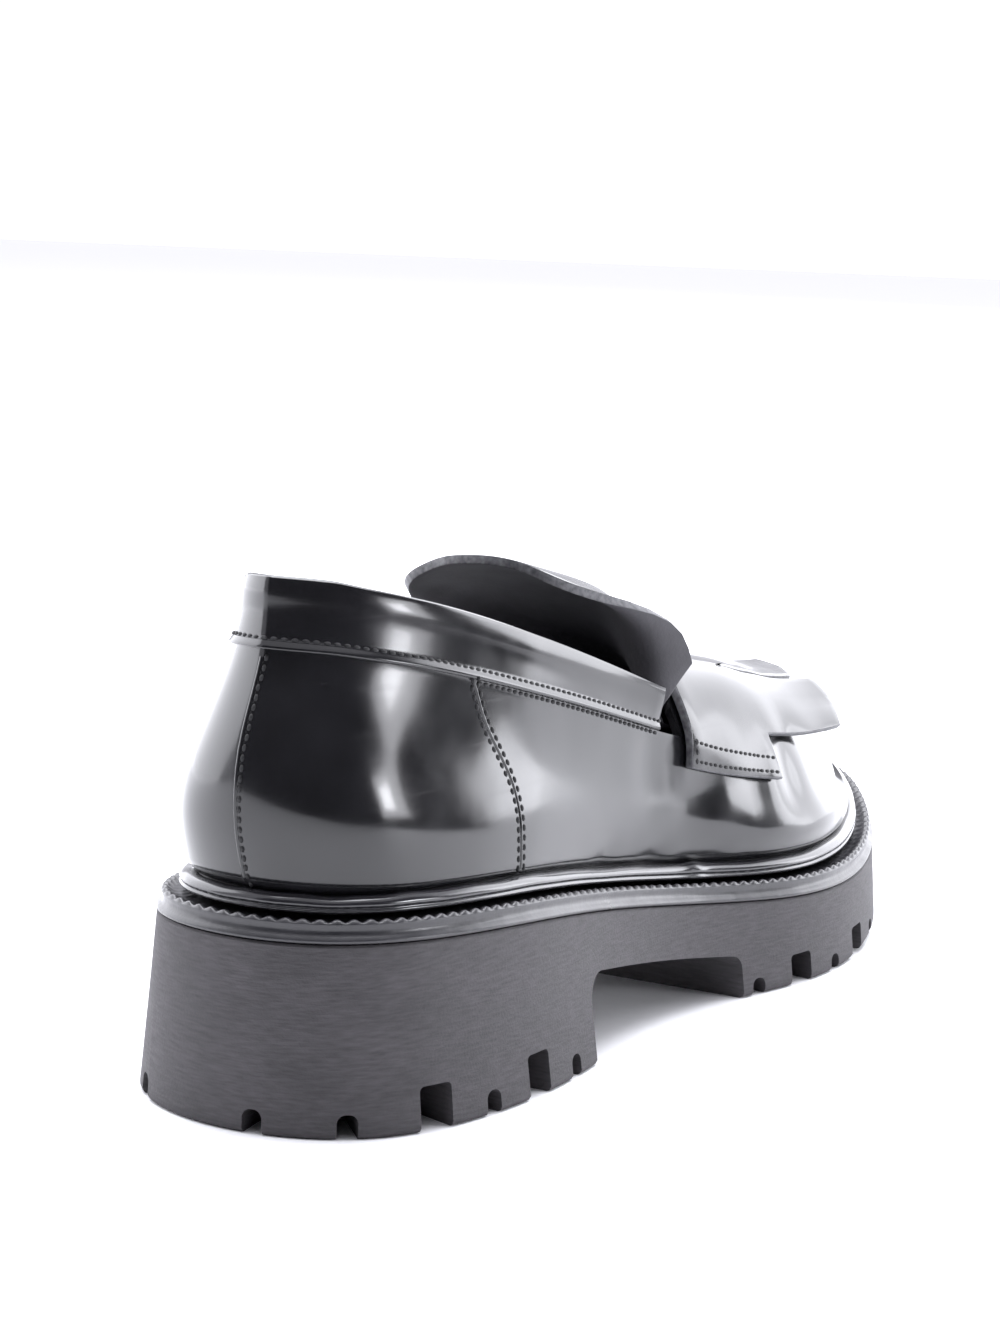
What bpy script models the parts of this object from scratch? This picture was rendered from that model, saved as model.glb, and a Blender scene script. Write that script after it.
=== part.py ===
"""Chunky lug sole loafer, the right shoe of a pair.

Metres, +Z up, toe towards +Y, outer (lateral) side towards +X. The origin is the centre of the heel
tread, on the floor. Every curve is worked out from the named sizes and the section tables below.
"""

import math

import bmesh
import bpy
import numpy as np
from mathutils import Vector

# Sizes of the sole
LENGTH = 0.285
BALL_WIDTH = 0.099
HEEL_BACK = 0.040
HEEL_HEIGHT = 0.0418
TREAD_CHAMFER = 0.0014
BREAST_AT = 0.0865
FOREFOOT_AT = 0.1585
ARCH_HEEL_HEIGHT = 0.0205
ARCH_TOE_HEIGHT = 0.0095
BREAST_RADIUS = 0.0065

# Sizes of the lugs
LUG_PITCH = 0.0172
BACK_LUG_PITCH = 0.0210
HEEL_LUG = 0.0118
FOREFOOT_LUG = 0.0066
NARROW_GROOVE = 0.0046
NARROW_GROOVE_HEIGHT = 0.0055
NARROW_GROOVE_REACH = 0.014
WIDE_GROOVE = 0.0085
WIDE_GROOVE_HEIGHT = 0.0100
FOREFOOT_GROOVE_SHARE = 0.78
SPINE_HALF_WIDTH = 0.009

# Sizes of the welt and of the glossy rand on it
CLEARANCE = 0.0003
WELT_INSET = 0.0012
WELT_LIP = 0.0010
WELT_BAND = 0.0042
RIB_PITCH = 0.0039
RIB_HEIGHT = 0.0017
RIB_DEPTH = 0.0017
RAND_INSET = 0.0052
RAND_WIDTH = 0.0031
RAND_HEIGHT = 0.0033

# Sizes of the upper
WALL = 0.0020
BACK_HEIGHT = 0.0675
INSTEP_HEIGHT = 0.0540
SWELL_SHARE = 0.40
SWELL_RISE = 0.0022
COLLAR_STEP = 0.0006
SEAM_RAISE = 0.0007
SEAM_WIDTH = 0.0024
COLLAR_END_SHARE = 0.4643
THROAT_SHARE = 0.4990
RIDGE_SHIFT = -0.002
TIP_SHARE = 0.93
INSOLE = 0.0030
INSOLE_EASE = 0.0012

# Sizes of the tongue
TONGUE_THICKNESS = 0.0022
TONGUE_WIDTH = 0.0690
TONGUE_LENGTH = 0.0900
TONGUE_RISE = 0.0395
TONGUE_TILT = 0.0032
TONGUE_ROOT = 0.012
TONGUE_ROOT_SHARE = 0.90
TONGUE_EASE = 0.0010

# Sizes of the kiltie: its strap over the instep and its fringe
STRAP_THICKNESS = 0.0022
STRAP_LIFT = 0.0007
STRAP_END_SHARE = 1.18
STRAP_TAPER_SHARE = 0.05
FRINGE_STRIPS = 5
FRINGE_WIDTH_SHARE = 0.95
FRINGE_LIFT = 0.0100
FRINGE_SPREAD_SHARE = 0.050
FRINGE_POINT_SHARE = 0.024

LATERAL = 1
MEDIAL = -1

# Plan of the sole's top edge and its side. Widths, top and flare are shares of BALL_WIDTH, HEEL_HEIGHT
# and HEEL_HEIGHT; spring lifts the tread off the floor, a share of HEEL_HEIGHT.
SOLE_COLUMNS = ("share", "lateral", "medial", "top", "flare", "spring")
SOLE_SECTIONS = (
    (0.000, 0.000, 0.000, 1.000, 0.03, 0.000),
    (0.020, 0.205, 0.205, 0.996, 0.05, 0.000),
    (0.060, 0.310, 0.310, 0.985, 0.09, 0.000),
    (0.130, 0.375, 0.375, 0.955, 0.12, 0.000),
    (0.250, 0.400, 0.392, 0.885, 0.12, 0.000),
    (0.400, 0.372, 0.340, 0.730, 0.09, 0.000),
    (0.520, 0.405, 0.380, 0.605, 0.07, 0.000),
    (0.640, 0.495, 0.465, 0.525, 0.06, 0.000),
    (0.750, 0.503, 0.503, 0.510, 0.04, 0.010),
    (0.860, 0.418, 0.435, 0.580, 0.03, 0.080),
    (0.940, 0.285, 0.305, 0.690, 0.02, 0.180),
    (0.985, 0.150, 0.160, 0.770, 0.02, 0.250),
    (1.000, 0.000, 0.000, 0.800, 0.02, 0.270),
)

# The upper on its last. "in" columns are how far the wall stands inside the sole's edge, as shares of
# BALL_WIDTH; "up" columns are heights over the rand's seat, as shares of BACK_HEIGHT.
WALL_COLUMNS = ("share", "low_in", "low_up", "mid_in", "mid_up", "seam_in", "seam_up")
WALL_SECTIONS = (
    (0.000, 0.030, 0.270, 0.045, 0.520, 0.124, 0.812),
    (0.060, 0.054, 0.265, 0.100, 0.510, 0.164, 0.790),
    (0.130, 0.070, 0.255, 0.110, 0.485, 0.152, 0.755),
    (0.250, 0.066, 0.225, 0.094, 0.420, 0.118, 0.675),
    (0.400, 0.048, 0.195, 0.056, 0.350, 0.056, 0.588),
    (0.520, 0.048, 0.175, 0.058, 0.310, 0.070, 0.520),
    (0.640, 0.054, 0.150, 0.084, 0.285, 0.130, 0.470),
    (0.750, 0.062, 0.135, 0.100, 0.250, 0.152, 0.410),
    (0.860, 0.088, 0.110, 0.112, 0.195, 0.146, 0.315),
    (0.940, 0.098, 0.080, 0.114, 0.140, 0.134, 0.235),
    (1.000, 0.100, 0.055, 0.112, 0.100, 0.130, 0.165),
)

# The collar's top edge, from the heel's back to the strap
COLLAR_COLUMNS = ("share", "top_in", "top_up")
COLLAR_SECTIONS = (
    (0.000, 0.146, 1.036),
    (0.060, 0.195, 1.012),
    (0.130, 0.178, 0.974),
    (0.250, 0.140, 0.885),
    (0.400, 0.058, 0.765),
    (0.480, 0.032, 0.690),
)

# The vamp's shoulder and its ridge; "at" is the ridge's place as a share of LENGTH
VAMP_COLUMNS = ("share", "top_in", "top_up", "ridge_at", "ridge_up")
VAMP_SECTIONS = (
    (0.440, 0.110, 0.740, 0.615, 0.985),
    (0.500, 0.130, 0.705, 0.645, 0.940),
    (0.580, 0.165, 0.680, 0.682, 0.900),
    (0.640, 0.200, 0.655, 0.712, 0.865),
    (0.750, 0.232, 0.575, 0.775, 0.785),
    (0.860, 0.188, 0.432, 0.855, 0.655),
    (0.940, 0.154, 0.322, 0.908, 0.515),
    (1.000, 0.158, 0.225, 0.932, 0.390),
)

# The tongue from its middle to its side: points half way and at the tip. "out" columns are shares of
# half TONGUE_WIDTH, "back" of TONGUE_LENGTH and "up" of TONGUE_RISE, all from the middle of the throat.
# TONGUE_TILT is how much higher the outer side stands and how much lower the inner one.
TONGUE_COLUMNS = ("across", "mid_out", "mid_back", "mid_up", "tip_out", "tip_back", "tip_up")
TONGUE_SECTIONS = (
    (0.00, 0.00, 0.430, 0.580, 0.00, 0.935, 0.965),
    (0.15, 0.16, 0.435, 0.580, 0.17, 0.930, 0.958),
    (0.35, 0.36, 0.455, 0.570, 0.40, 0.902, 0.906),
    (0.70, 0.71, 0.530, 0.500, 0.76, 0.757, 0.702),
    (0.88, 0.87, 0.478, 0.260, 0.96, 0.480, 0.448),
    (1.00, 0.93, 0.430, 0.090, 1.00, 0.400, 0.180),
)

# The kiltie over the instep, from the ridge down to the strap's end. "back" and "front" are the strap's
# edges and "tip" the fringe's, as shares of the outline; "lift" is a share of FRINGE_LIFT.
KILTIE_COLUMNS = ("across", "back", "front", "tip", "lift")
KILTIE_SECTIONS = (
    (0.00, 0.502, 0.598, 0.838, 0.18),
    (0.35, 0.502, 0.603, 0.833, 0.26),
    (0.70, 0.502, 0.618, 0.822, 0.58),
    (1.00, 0.501, 0.634, 0.814, 1.00),
    (1.18, 0.501, 0.640, 0.814, 1.00),
)

SIDE_STATIONS = 40
WALL_ROWS = {"low": 2, "mid": 2, "seam": 2, "top": 2, "ridge": 4}


# Curves

def spline_through(places, values):
    """A natural cubic spline, as a function of the place along it."""
    x = np.array(places, float)
    y = np.array(values, float).reshape(len(x), -1)
    step = np.diff(x)
    slope = np.diff(y, axis=0) / step[:, None]
    system = np.eye(len(x))
    right = np.zeros_like(y)
    for i in range(1, len(x) - 1):
        system[i, i - 1] = step[i - 1]
        system[i, i] = 2 * (step[i - 1] + step[i])
        system[i, i + 1] = step[i]
        right[i] = 6 * (slope[i] - slope[i - 1])
    bend = np.linalg.solve(system, right)

    def value(at):
        i = int(np.clip(np.searchsorted(x, at) - 1, 0, len(x) - 2))
        a, b, h = x[i + 1] - at, at - x[i], step[i]
        inner = bend[i] * a**3 / (6 * h) + bend[i + 1] * b**3 / (6 * h)
        ends = (y[i] / h - bend[i] * h / 6) * a + (y[i + 1] / h - bend[i + 1] * h / 6) * b
        found = inner + ends
        return float(found[0]) if len(found) == 1 else found

    return value


def turn_of(share):
    """The place round the outline, 0 at the heel's back and 1 at the toe, so that both ends are round."""
    return math.acos(1 - 2 * min(max(share, 0.0), 1.0)) / math.pi


def share_of(turn):
    return (1 - math.cos(math.pi * turn)) / 2


def table_curves(columns, rows, by_turn=True):
    """One spline for each named column of a section table."""
    places = [turn_of(row[0]) if by_turn else row[0] for row in rows]
    return {
        name: spline_through(places, [row[i] for row in rows])
        for i, name in enumerate(columns)
        if i
    }


SOLE = table_curves(SOLE_COLUMNS, SOLE_SECTIONS)
WALLS = table_curves(WALL_COLUMNS, WALL_SECTIONS)
COLLAR = table_curves(COLLAR_COLUMNS, COLLAR_SECTIONS)
VAMP = table_curves(VAMP_COLUMNS, VAMP_SECTIONS)
TONGUE = table_curves(TONGUE_COLUMNS, TONGUE_SECTIONS, by_turn=False)
KILTIE = table_curves(KILTIE_COLUMNS, KILTIE_SECTIONS, by_turn=False)


def edge_at(side, turn):
    """A point of the sole's top edge, seen from above."""
    width = SOLE["lateral" if side == LATERAL else "medial"](turn) * BALL_WIDTH
    return Vector((side * width, share_of(turn) * LENGTH - HEEL_BACK))


def plan_point(side, turn, inset):
    """The point that lies inset inside the sole's top edge, square to it."""
    reach = 1e-4
    low, high = max(turn - reach, 0.0), min(turn + reach, 1.0)
    along = (edge_at(side, high) - edge_at(side, low)).normalized()
    if turn in (0.0, 1.0):
        along = Vector((side if turn == 0.0 else -side, 0.0))
    inward = Vector((-along.y, along.x)) * side
    return edge_at(side, turn) + inward * inset


def turn_at(y):
    return turn_of((y + HEEL_BACK) / LENGTH)


def top_height(y):
    """Height of the rubber block's top edge."""
    return SOLE["top"](turn_at(y)) * HEEL_HEIGHT


def tread_height(y):
    return max(SOLE["spring"](turn_at(y)), 0.0) * HEEL_HEIGHT if turn_at(y) > turn_of(0.70) else 0.0


def welt_top(y):
    return top_height(y) + CLEARANCE + WELT_BAND + RIB_HEIGHT / 2


def seat_height(y):
    """Height of the plane that the rand and the upper stand on."""
    return welt_top(y) + CLEARANCE


def raised(point, height):
    return Vector((point.x, point.y, height))


def spaced_turns(side, inset, count):
    """Turns of count equal steps along one side of the outline, heel to toe."""
    fine = np.linspace(0.0, 1.0, 800)
    points = np.array([plan_point(side, float(t), inset) for t in fine])
    run = np.concatenate([[0], np.cumsum(np.linalg.norm(np.diff(points, axis=0), axis=1))])
    turns = np.interp(np.linspace(0, run[-1], count + 1), run, fine)
    turns[0], turns[-1] = 0.0, 1.0
    return [float(t) for t in turns], float(run[-1])


# Making solids

def new_object(name, bm, material, smooth_angle=None):
    mesh = bpy.data.meshes.new(name)
    bm.to_mesh(mesh)
    bm.free()
    mesh.materials.append(material)
    if smooth_angle is not None:
        mesh.shade_smooth()
        mesh.set_sharp_from_angle(angle=math.radians(smooth_angle))
    obj = bpy.data.objects.new(name, mesh)
    SHOE.objects.link(obj)
    return obj


def loft(sections, closed_path=False):
    """A closed body through like sections. The end sections may fold flat, as at the toe."""
    bm = bmesh.new()
    rings = [[bm.verts.new(point) for point in section] for section in sections]
    pairs = list(zip(rings, rings[1:] + rings[:1])) if closed_path else list(zip(rings, rings[1:]))
    for ring, following in pairs:
        for i, vertex in enumerate(ring):
            j = (i + 1) % len(ring)
            bm.faces.new((vertex, ring[j], following[j], following[i]))
    bmesh.ops.remove_doubles(bm, verts=bm.verts, dist=1e-6)
    bmesh.ops.recalc_face_normals(bm, faces=bm.faces)
    return bm


def prism(outline, depth):
    """A flat outline in the XZ plane, drawn out by depth towards +Y."""
    bm = bmesh.new()
    face = bm.faces.new([bm.verts.new((x, 0, z)) for x, z in outline])
    grown = bmesh.ops.extrude_face_region(bm, geom=[face])
    moved = [item for item in grown["geom"] if isinstance(item, bmesh.types.BMVert)]
    bmesh.ops.translate(bm, verts=moved, vec=(0, depth, 0))
    bmesh.ops.recalc_face_normals(bm, faces=bm.faces)
    return bm


def add_grid(bm, rows):
    """Quads over a grid of points; grids that share points are welded afterwards."""
    vertices = [[bm.verts.new(point) for point in row] for row in rows]
    for row, following in zip(vertices, vertices[1:]):
        for i in range(len(row) - 1):
            bm.faces.new((row[i], row[i + 1], following[i + 1], following[i]))


def wall_from(bm, name, thickness, material, inward=True):
    """An open surface, turned to face outwards and thickened on one side."""
    bmesh.ops.remove_doubles(bm, verts=bm.verts, dist=1e-6)
    bmesh.ops.recalc_face_normals(bm, faces=bm.faces)
    # The highest face of every such piece looks up or out, never in
    top = max(bm.faces, key=lambda face: face.calc_center_median().x + face.calc_center_median().z)
    if top.normal.x + top.normal.z < 0:
        bmesh.ops.reverse_faces(bm, faces=bm.faces)
    obj = new_object(name, bm, material, smooth_angle=50)
    solid = obj.modifiers.new("wall", "SOLIDIFY")
    solid.thickness = thickness
    solid.offset = -1 if inward else 1
    solid.use_even_offset = True
    solid.use_quality_normals = True
    return obj


def cut(obj, cutter):
    boolean = obj.modifiers.new("cut " + cutter.name, "BOOLEAN")
    boolean.operation = "DIFFERENCE"
    boolean.solver = "EXACT"
    boolean.object = cutter


def new_cutter(name, bm):
    mesh = bpy.data.meshes.new(name)
    bm.to_mesh(mesh)
    bm.free()
    obj = bpy.data.objects.new(name, mesh)
    CUTTERS.objects.link(obj)
    obj.hide_render = True
    obj.display_type = "WIRE"
    return obj


def finish(name, colour, roughness, coat=0.0):
    material = bpy.data.materials.new(name)
    material.use_nodes = True
    shader = material.node_tree.nodes["Principled BSDF"]
    shader.inputs["Base Color"].default_value = (*colour, 1)
    shader.inputs["Roughness"].default_value = roughness
    shader.inputs["Metallic"].default_value = 0.0
    shader.inputs["Coat Weight"].default_value = coat
    return material


# Outsole

def tread_point(side, turn, inset):
    flare = SOLE["flare"](turn) * HEEL_HEIGHT
    return plan_point(side, turn, inset - flare)


def outsole_section(turn):
    """Half sections of both sides: top edge, side and chamfered tread."""
    halves = []
    for side in (LATERAL, MEDIAL):
        top = plan_point(side, turn, 0.0)
        low = tread_point(side, turn, 0.0)
        tread = tread_point(side, turn, TREAD_CHAMFER)
        halves.append(
            [
                raised(top, top_height(top.y)),
                raised(low, tread_height(low.y) + TREAD_CHAMFER),
                raised(tread, tread_height(tread.y)),
            ]
        )
    return halves[0] + halves[1][::-1]


def arch_cutter():
    """The open waist between the heel's breast and the forefoot, through the whole sole."""
    breast = BREAST_AT - HEEL_BACK
    front = FOREFOOT_AT - HEEL_BACK
    under = -0.010
    outline = [(front, under), (breast, under), (breast, ARCH_HEEL_HEIGHT - BREAST_RADIUS)]
    for i in range(1, 4):
        angle = math.radians(30 * i)
        outline.append(
            (
                breast + BREAST_RADIUS * (1 - math.cos(angle)),
                ARCH_HEEL_HEIGHT - BREAST_RADIUS * (1 - math.sin(angle)),
            )
        )
    outline.append((front - BREAST_RADIUS / 4, ARCH_TOE_HEIGHT))
    outline.append((front, ARCH_TOE_HEIGHT - BREAST_RADIUS / 4))
    bm = prism(outline, 2 * BALL_WIDTH)
    # The outline is drawn in the shoe's side view, so X is turned to run along the shoe
    for vertex in bm.verts:
        vertex.co = Vector((vertex.co.y - BALL_WIDTH, vertex.co.x, vertex.co.z))
    bmesh.ops.recalc_face_normals(bm, faces=bm.faces)
    return new_cutter("arch_cutter", bm)


def groove_outline(width, height, round_top):
    """Cross-section of one groove, open downwards past the tread."""
    half = width / 2
    below = -0.010
    drop = half if round_top else width * 0.12
    flat = half * 0.6 if round_top else half - drop
    top = [(half, height - drop), (flat, height), (-flat, height), (-half, height - drop)]
    return [(-half, below), (half, below)] + top


def groove_spots():
    """(side, turn, wide) of each groove, spaced along the tread's edge from the breast and the forefoot."""
    fine = np.linspace(0.0, 1.0, 800)
    spots = []
    for side in (LATERAL, MEDIAL):
        points = np.array([tread_point(side, float(t), 0.0) for t in fine])
        run = np.concatenate([[0], np.cumsum(np.linalg.norm(np.diff(points, axis=0), axis=1))])
        breast = float(np.interp(turn_of(BREAST_AT / LENGTH), fine, run))
        front = float(np.interp(turn_of(FOREFOOT_AT / LENGTH), fine, run))
        runs = []
        for i in range(4):
            runs.append((breast - HEEL_LUG - i * LUG_PITCH, i % 2 == 1))
        behind = runs[-1][0]
        runs.append((behind - BACK_LUG_PITCH, False))
        if side == LATERAL:
            runs.append((behind - 2 * BACK_LUG_PITCH, False))
        at, number = front + FOREFOOT_LUG, 0
        while at < run[-1] - LUG_PITCH / 3:
            runs.append((at, number % 2 == 1))
            at += LUG_PITCH
            number += 1
        spots += [(side, float(np.interp(place, run, fine)), wide) for place, wide in runs]
    return spots


def tread_cutter():
    bm = bmesh.new()
    for side, turn, wide in groove_spots():
        edge = tread_point(side, turn, 0.0)
        inner = tread_point(side, turn, 0.001)
        inward = (inner - edge).normalized()
        forefoot = edge.y > FOREFOOT_AT - HEEL_BACK
        tall = WIDE_GROOVE_HEIGHT if wide else NARROW_GROOVE_HEIGHT
        tall *= FOREFOOT_GROOVE_SHARE if forefoot else 1.0
        reach = abs(edge.x) - SPINE_HALF_WIDTH if wide and abs(inward.x) > 0.8 else NARROW_GROOVE_REACH
        overshoot = 0.006
        outline = groove_outline(WIDE_GROOVE if wide else NARROW_GROOVE, tall, not wide)
        piece = prism(outline, reach + overshoot)
        start = edge - inward * overshoot
        lift = tread_height(edge.y)
        for vertex in piece.verts:
            across, along, up = vertex.co
            place = start + inward * along + Vector((inward.y, -inward.x)) * across
            vertex.co = Vector((place.x, place.y, up + lift))
        bmesh.ops.recalc_face_normals(piece, faces=piece.faces)
        mesh = bpy.data.meshes.new("groove")
        piece.to_mesh(mesh)
        piece.free()
        bm.from_mesh(mesh)
        bpy.data.meshes.remove(mesh)
    return new_cutter("tread_cutter", bm)


def make_outsole(material):
    turns = [i / SIDE_STATIONS for i in range(SIDE_STATIONS + 1)]
    bm = loft([outsole_section(turn) for turn in turns])
    obj = new_object("outsole", bm, material, smooth_angle=30)
    cut(obj, arch_cutter())
    cut(obj, tread_cutter())
    return obj


# Welt: the smooth band over the rubber block and its ribbed top edge

def make_welt(material):
    _, run = spaced_turns(LATERAL, WELT_INSET, 8)
    count = 2 * round(run / RIB_PITCH)
    turns = {side: spaced_turns(side, WELT_INSET, count)[0] for side in (LATERAL, MEDIAL)}
    sections = []
    for i in range(count + 1):
        rib_in, rib_up = (0.0002, RIB_HEIGHT) if i % 2 == 0 else (RIB_DEPTH, 0.0002)
        halves = []
        for side in (LATERAL, MEDIAL):
            turn = turns[side][i]
            profile = (
                (WELT_INSET / 3, 0.0),
                (WELT_INSET / 3, WELT_LIP),
                (WELT_INSET, WELT_BAND),
                (WELT_INSET + rib_in, WELT_BAND + rib_up),
                (RAND_INSET, WELT_BAND + RIB_HEIGHT / 2),
            )
            points = []
            for inset, up in profile:
                place = plan_point(side, turn, inset)
                points.append(raised(place, top_height(place.y) + CLEARANCE + up))
            halves.append(points)
        sections.append(halves[0] + halves[1][::-1])
    return new_object("welt", loft(sections), material, smooth_angle=25)


# Rand: the glossy strip of two ridges that hides the upper's edge

def make_rand(material):
    profile = (
        (0.00, 0.00),
        (-0.08, 0.26),
        (0.12, 0.50),
        (0.04, 0.76),
        (0.40, 1.00),
        (1.00, 0.94),
        (1.00, 0.00),
    )
    turns = [i / SIDE_STATIONS for i in range(SIDE_STATIONS + 1)]
    path = [(LATERAL, turn) for turn in turns] + [(MEDIAL, turn) for turn in turns[-2:0:-1]]
    sections = []
    for side, turn in path:
        points = []
        for across, up in profile:
            place = plan_point(side, turn, RAND_INSET + across * RAND_WIDTH)
            points.append(raised(place, seat_height(place.y) + up * RAND_HEIGHT))
        sections.append(points)
    return new_object("rand", loft(sections, closed_path=True), material, smooth_angle=40)


# Upper

def wall_level(side, turn, inset, up):
    place = plan_point(side, turn, inset * BALL_WIDTH)
    return raised(place, seat_height(place.y) + up * BACK_HEIGHT)


def wall_levels(side, turn):
    """The wall's points from the rand's seat up to the collar seam; it swells out over the rand."""
    foot_in = (RAND_INSET + RAND_WIDTH + CLEARANCE) / BALL_WIDTH
    crease_up = (RAND_HEIGHT + CLEARANCE) / BACK_HEIGHT
    swell_in = (RAND_INSET + SWELL_SHARE * RAND_WIDTH) / BALL_WIDTH
    swell_up = (RAND_HEIGHT + SWELL_RISE) / BACK_HEIGHT
    fade = min(1.0, 2.5 * (1 - share_of(turn)) + 0.35)
    return [
        wall_level(side, turn, foot_in, 0.0),
        wall_level(side, turn, foot_in - 0.001, crease_up),
        wall_level(side, turn, foot_in + (swell_in - foot_in) * fade, swell_up),
        wall_level(side, turn, WALLS["low_in"](turn), WALLS["low_up"](turn)),
        wall_level(side, turn, WALLS["mid_in"](turn), WALLS["mid_up"](turn)),
        wall_level(side, turn, WALLS["seam_in"](turn), WALLS["seam_up"](turn)),
    ]


def ridge_point(turn):
    y = VAMP["ridge_at"](turn) * LENGTH - HEEL_BACK
    fade = min(1.0, (1 - turn) * 4)
    return Vector((RIDGE_SHIFT * fade, y, seat_height(y) + VAMP["ridge_up"](turn) * INSTEP_HEIGHT))


def vamp_levels(side, turn):
    shoulder = wall_level(side, turn, VAMP["top_in"](turn), VAMP["top_up"](turn))
    return wall_levels(side, turn) + [shoulder]


def run_along(points):
    """A smooth curve through points, as a function of its run from 0, with the run at each point."""
    places = [0.0]
    for first, second in zip(points, points[1:]):
        places.append(places[-1] + max((second - first).length, 1e-6))
    return spline_through(places, [tuple(p) for p in points]), places


def sampled(points, counts):
    """Points along the smooth curve, counts[i] steps between each two of the given ones."""
    curve, places = run_along(points)
    found = [points[0]]
    for i, count in enumerate(counts):
        for j in range(1, count + 1):
            at = places[i] + (places[i + 1] - places[i]) * j / count
            found.append(points[i + 1] if j == count else Vector(curve(at)))
    return found


def counts_of(*names):
    return [WALL_ROWS[name] for name in names]


def seam_row():
    """How many rows lie under the collar seam, without the foot's two straight ones."""
    return sum(counts_of("low", "mid", "seam"))


def quarter_section(side, turn):
    """One side of the wall: from foot to seam, then the collar with its step and its raised seam."""
    top = wall_level(side, turn, COLLAR["top_in"](turn), COLLAR["top_up"](turn))
    levels = wall_levels(side, turn) + [top]
    foot, face = levels[:2], levels[2:]
    rows = sampled(face, counts_of("low", "mid", "seam", "top"))
    curve, places = run_along(face)
    outward = plan_point(side, turn, 0.0) - plan_point(side, turn, 0.001)
    out = Vector((outward.x, outward.y, 0.0)).normalized()
    lip = [
        Vector(curve(places[3] + SEAM_WIDTH * 0.15)) + out * (COLLAR_STEP + SEAM_RAISE),
        Vector(curve(places[3] + SEAM_WIDTH * 0.80)) + out * (COLLAR_STEP + SEAM_RAISE),
        Vector(curve(places[3] + SEAM_WIDTH)) + out * COLLAR_STEP,
    ]
    band = [point + out * COLLAR_STEP for point in rows[seam_row() + 1 :]]
    return foot + rows[: seam_row() + 1], lip + band


def vamp_section(turn):
    """The whole arch over the forefoot: lateral foot, ridge, medial foot."""
    lateral, medial = vamp_levels(LATERAL, turn), vamp_levels(MEDIAL, turn)
    counts = counts_of("low", "mid", "seam", "top", "ridge")
    ridge = ridge_point(turn)
    face = sampled(lateral[2:] + [ridge] + medial[:1:-1], counts + counts[::-1])
    # Round the toe's tip the two sides run on into one another instead of arching over
    fan = min(max((share_of(turn) - TIP_SHARE) / (1 - TIP_SHARE) * 2, 0.0), 1.0)
    halves = sampled(lateral[2:] + [ridge], counts) + sampled(medial[2:] + [ridge], counts)[-2::-1]
    face = [arch.lerp(half, fan) for arch, half in zip(face, halves)]
    return lateral[:2] + face + medial[1::-1]


def make_upper(material):
    turns = [i / SIDE_STATIONS for i in range(SIDE_STATIONS + 1)]
    rear = [turn for turn in turns if share_of(turn) <= COLLAR_END_SHARE]
    front = [turn for turn in turns if share_of(turn) >= THROAT_SHARE]
    seam = seam_row() + 2
    bm = bmesh.new()
    vamps = [vamp_section(turn) for turn in front]
    for side in (LATERAL, MEDIAL):
        quarters = [quarter_section(side, turn) for turn in rear]
        lower = [rows for rows, _ in quarters]
        lower += [(arch if side == LATERAL else arch[::-1])[: seam + 1] for arch in vamps]
        add_grid(bm, lower)
        add_grid(bm, [[rows[-1]] + band for rows, band in quarters])
    add_grid(bm, [arch[seam : len(arch) - seam] for arch in vamps])
    return wall_from(bm, "upper", WALL, material)


# Insole

def make_insole(material):
    inset = RAND_INSET + RAND_WIDTH + CLEARANCE + WALL + INSOLE_EASE
    sections = []
    for i in range(SIDE_STATIONS + 1):
        halves = []
        for side in (LATERAL, MEDIAL):
            place = plan_point(side, i / SIDE_STATIONS, inset)
            floor = seat_height(place.y)
            halves.append([raised(place, floor), raised(place, floor + INSOLE)])
        sections.append(halves[0] + halves[1][::-1])
    return new_object("insole", loft(sections), material, smooth_angle=40)


# Tongue

def arch_point(turn, across):
    """A point over the vamp: across runs from -1 at the medial seam line to 1 at the lateral one."""
    levels = {side: vamp_levels(side, turn)[2:] for side in (LATERAL, MEDIAL)}
    points = levels[LATERAL] + [ridge_point(turn)] + levels[MEDIAL][::-1]
    curve, places = run_along(points)
    ridge, seam = places[5], places[3] if across > 0 else places[7]
    at = ridge + (seam - ridge) * abs(across)
    place = Vector(curve(at))
    along = Vector(curve(at + 1e-4)) - Vector(curve(at - 1e-4))
    return place, along


def surface_point(share, across, lift):
    """arch_point, lifted square to the vamp."""
    turn = turn_of(share)
    place, along = arch_point(turn, across)
    ahead, _ = arch_point(turn_of(share + 0.002), across)
    behind, _ = arch_point(turn_of(share - 0.002), across)
    outward = (ahead - behind).cross(along).normalized()
    if outward.z < 0 and abs(across) < 0.9:
        outward.negate()
    if abs(across) >= 0.9 and outward.x * across < 0:
        outward.negate()
    return place + outward * lift


def tongue_point(throat, spread, where, side):
    out = TONGUE[where + "_out"](spread) * TONGUE_WIDTH / 2
    back = TONGUE[where + "_back"](spread) * TONGUE_LENGTH
    tilt = side * spread * TONGUE_TILT * (0.5 if where == "mid" else 1.0)
    up = TONGUE[where + "_up"](spread) * TONGUE_RISE + tilt
    return Vector((throat.x + side * out, throat.y - back, throat.z + up))


def make_tongue(material):
    """A curved sheet sewn inside the vamp's throat and standing up over the instep."""
    inside = WALL + TONGUE_EASE
    throat = surface_point(THROAT_SHARE, 0.0, -inside)
    rows = []
    for i in range(-9, 10):
        across, spread = i / 9, abs(i) / 9
        root = surface_point(THROAT_SHARE + TONGUE_ROOT / LENGTH, across * TONGUE_ROOT_SHARE, -inside)
        start = surface_point(THROAT_SHARE, across * TONGUE_ROOT_SHARE, -inside)
        mid = tongue_point(throat, spread, "mid", math.copysign(1, i))
        tip = tongue_point(throat, spread, "tip", math.copysign(1, i))
        rows.append(sampled([root, start, mid, tip], [1, 3, 4]))
    bm = bmesh.new()
    add_grid(bm, rows)
    return wall_from(bm, "tongue", TONGUE_THICKNESS, material)


# Kiltie: a strap over the instep, cut along its front edge into pointed strips that fan out

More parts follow.
